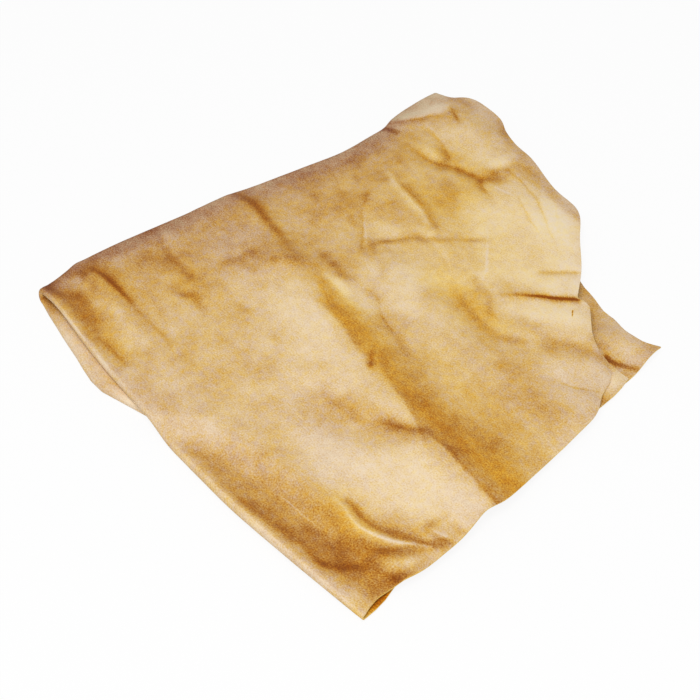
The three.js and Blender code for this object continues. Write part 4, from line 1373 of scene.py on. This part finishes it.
@dataclass(frozen=True)
class Studio:
    """The floor, the lights and the camera of the photograph, in metres. The lens is in millimetres."""

    # The lens over the width of its picture, and where it stands from the middle of the skin
    lens: float = 90.0
    sensor: float = 36.0
    stand: Triple = (0.71136, -0.33384, 0.70712)
    # The floor: its half width, its paint, and how much of what is seen of it glows white
    floor_reach: float = 4.0
    floor_paint: Triple = (0.9, 0.9, 0.9)
    floor_glow: float = 0.9
    # The even fill of the room, and the key light with the direction that it stands in
    room: float = 0.5
    key_energy: float = 14.0
    key_size: float = 0.9
    key_way: Triple = (0.28, -0.38, 0.88)
    key_distance: float = 1.6

    def camera(self, middle: Vector) -> None:
        """Stand the camera where the photograph was taken from.

        Args:
            middle: the middle of the skin in the part's frame, in metres.
        """
        level = math.cos(VIEW_RISE)
        back = Vector((math.sin(VIEW_TURN) * level, -math.cos(VIEW_TURN) * level, math.sin(VIEW_RISE)))
        data = bpy.data.cameras.new("camera")
        data.lens = self.lens
        data.sensor_width = self.sensor
        camera = bpy.data.objects.new("camera", data)
        camera.location = middle + Vector(self.stand)
        camera.rotation_euler = back.to_track_quat("Z", "Y").to_euler()
        bpy.context.scene.collection.objects.link(camera)
        bpy.context.scene.camera = camera

    def white(self) -> bpy.types.Material:
        """The floor's white, which keeps shadows and looks white to the eye.

        Returns:
            The material.
        """
        made = bpy.data.materials.new("floor_white")
        made.use_nodes = True
        nodes, links = made.node_tree.nodes, made.node_tree.links
        nodes.clear()
        paint = nodes.new("ShaderNodeBsdfDiffuse")
        paint.inputs["Color"].default_value = (*self.floor_paint, 1)
        glow = nodes.new("ShaderNodeEmission")
        path = nodes.new("ShaderNodeLightPath").outputs
        values = ValueNodes(made.node_tree)
        mirrored = values.combined("MAXIMUM", path["Is Glossy Ray"], path["Is Transmission Ray"])
        seen = values.combined("MAXIMUM", path["Is Camera Ray"], mirrored)
        both = nodes.new("ShaderNodeMixShader")
        out = nodes.new("ShaderNodeOutputMaterial")
        links.new(values.combined("MULTIPLY", seen, self.floor_glow), both.inputs["Fac"])
        links.new(paint.outputs["BSDF"], both.inputs[1])
        links.new(glow.outputs["Emission"], both.inputs[2])
        links.new(both.outputs["Shader"], out.inputs["Surface"])
        return made

    def floor(self) -> None:
        """A plain white floor."""
        bm = bmesh.new()
        bmesh.ops.create_grid(bm, x_segments=1, y_segments=1, size=self.floor_reach)
        mesh = bpy.data.meshes.new("floor")
        bm.to_mesh(mesh)
        bm.free()
        mesh.materials.append(self.white())
        floor = bpy.data.objects.new("floor", mesh)
        bpy.context.scene.collection.objects.link(floor)

    def lights(self) -> None:
        """A broad key light from the front left, and an even fill from the room."""
        world = bpy.data.worlds.new("room")
        bpy.context.scene.world = world
        world.use_nodes = True
        fill = world.node_tree.nodes["Background"]
        fill.inputs["Color"].default_value = (1, 1, 1, 1)
        fill.inputs["Strength"].default_value = self.room
        data = bpy.data.lights.new("key", "AREA")
        data.shape = "DISK"
        data.size = self.key_size
        data.energy = self.key_energy
        key = bpy.data.objects.new("key", data)
        toward = Vector(self.key_way).normalized()
        key.location = toward * self.key_distance
        key.rotation_euler = toward.to_track_quat("Z", "Y").to_euler()
        bpy.context.scene.collection.objects.link(key)


def main() -> None:
    """Build the skin and the studio round it."""
    logging.basicConfig(level=logging.INFO)
    bpy.context.scene.view_settings.view_transform = "Standard"
    studio = Studio()
    studio.camera(SKIN_MIDDLE)
    studio.floor()
    studio.lights()
    skin = Skin().build(SKIN_MIDDLE)
    for material in ChamoisFinish().materials():
        skin.data.materials.append(material)
    LOG.info("chamois_skin: %d faces", len(skin.data.polygons))


if __name__ == "__main__":
    main()
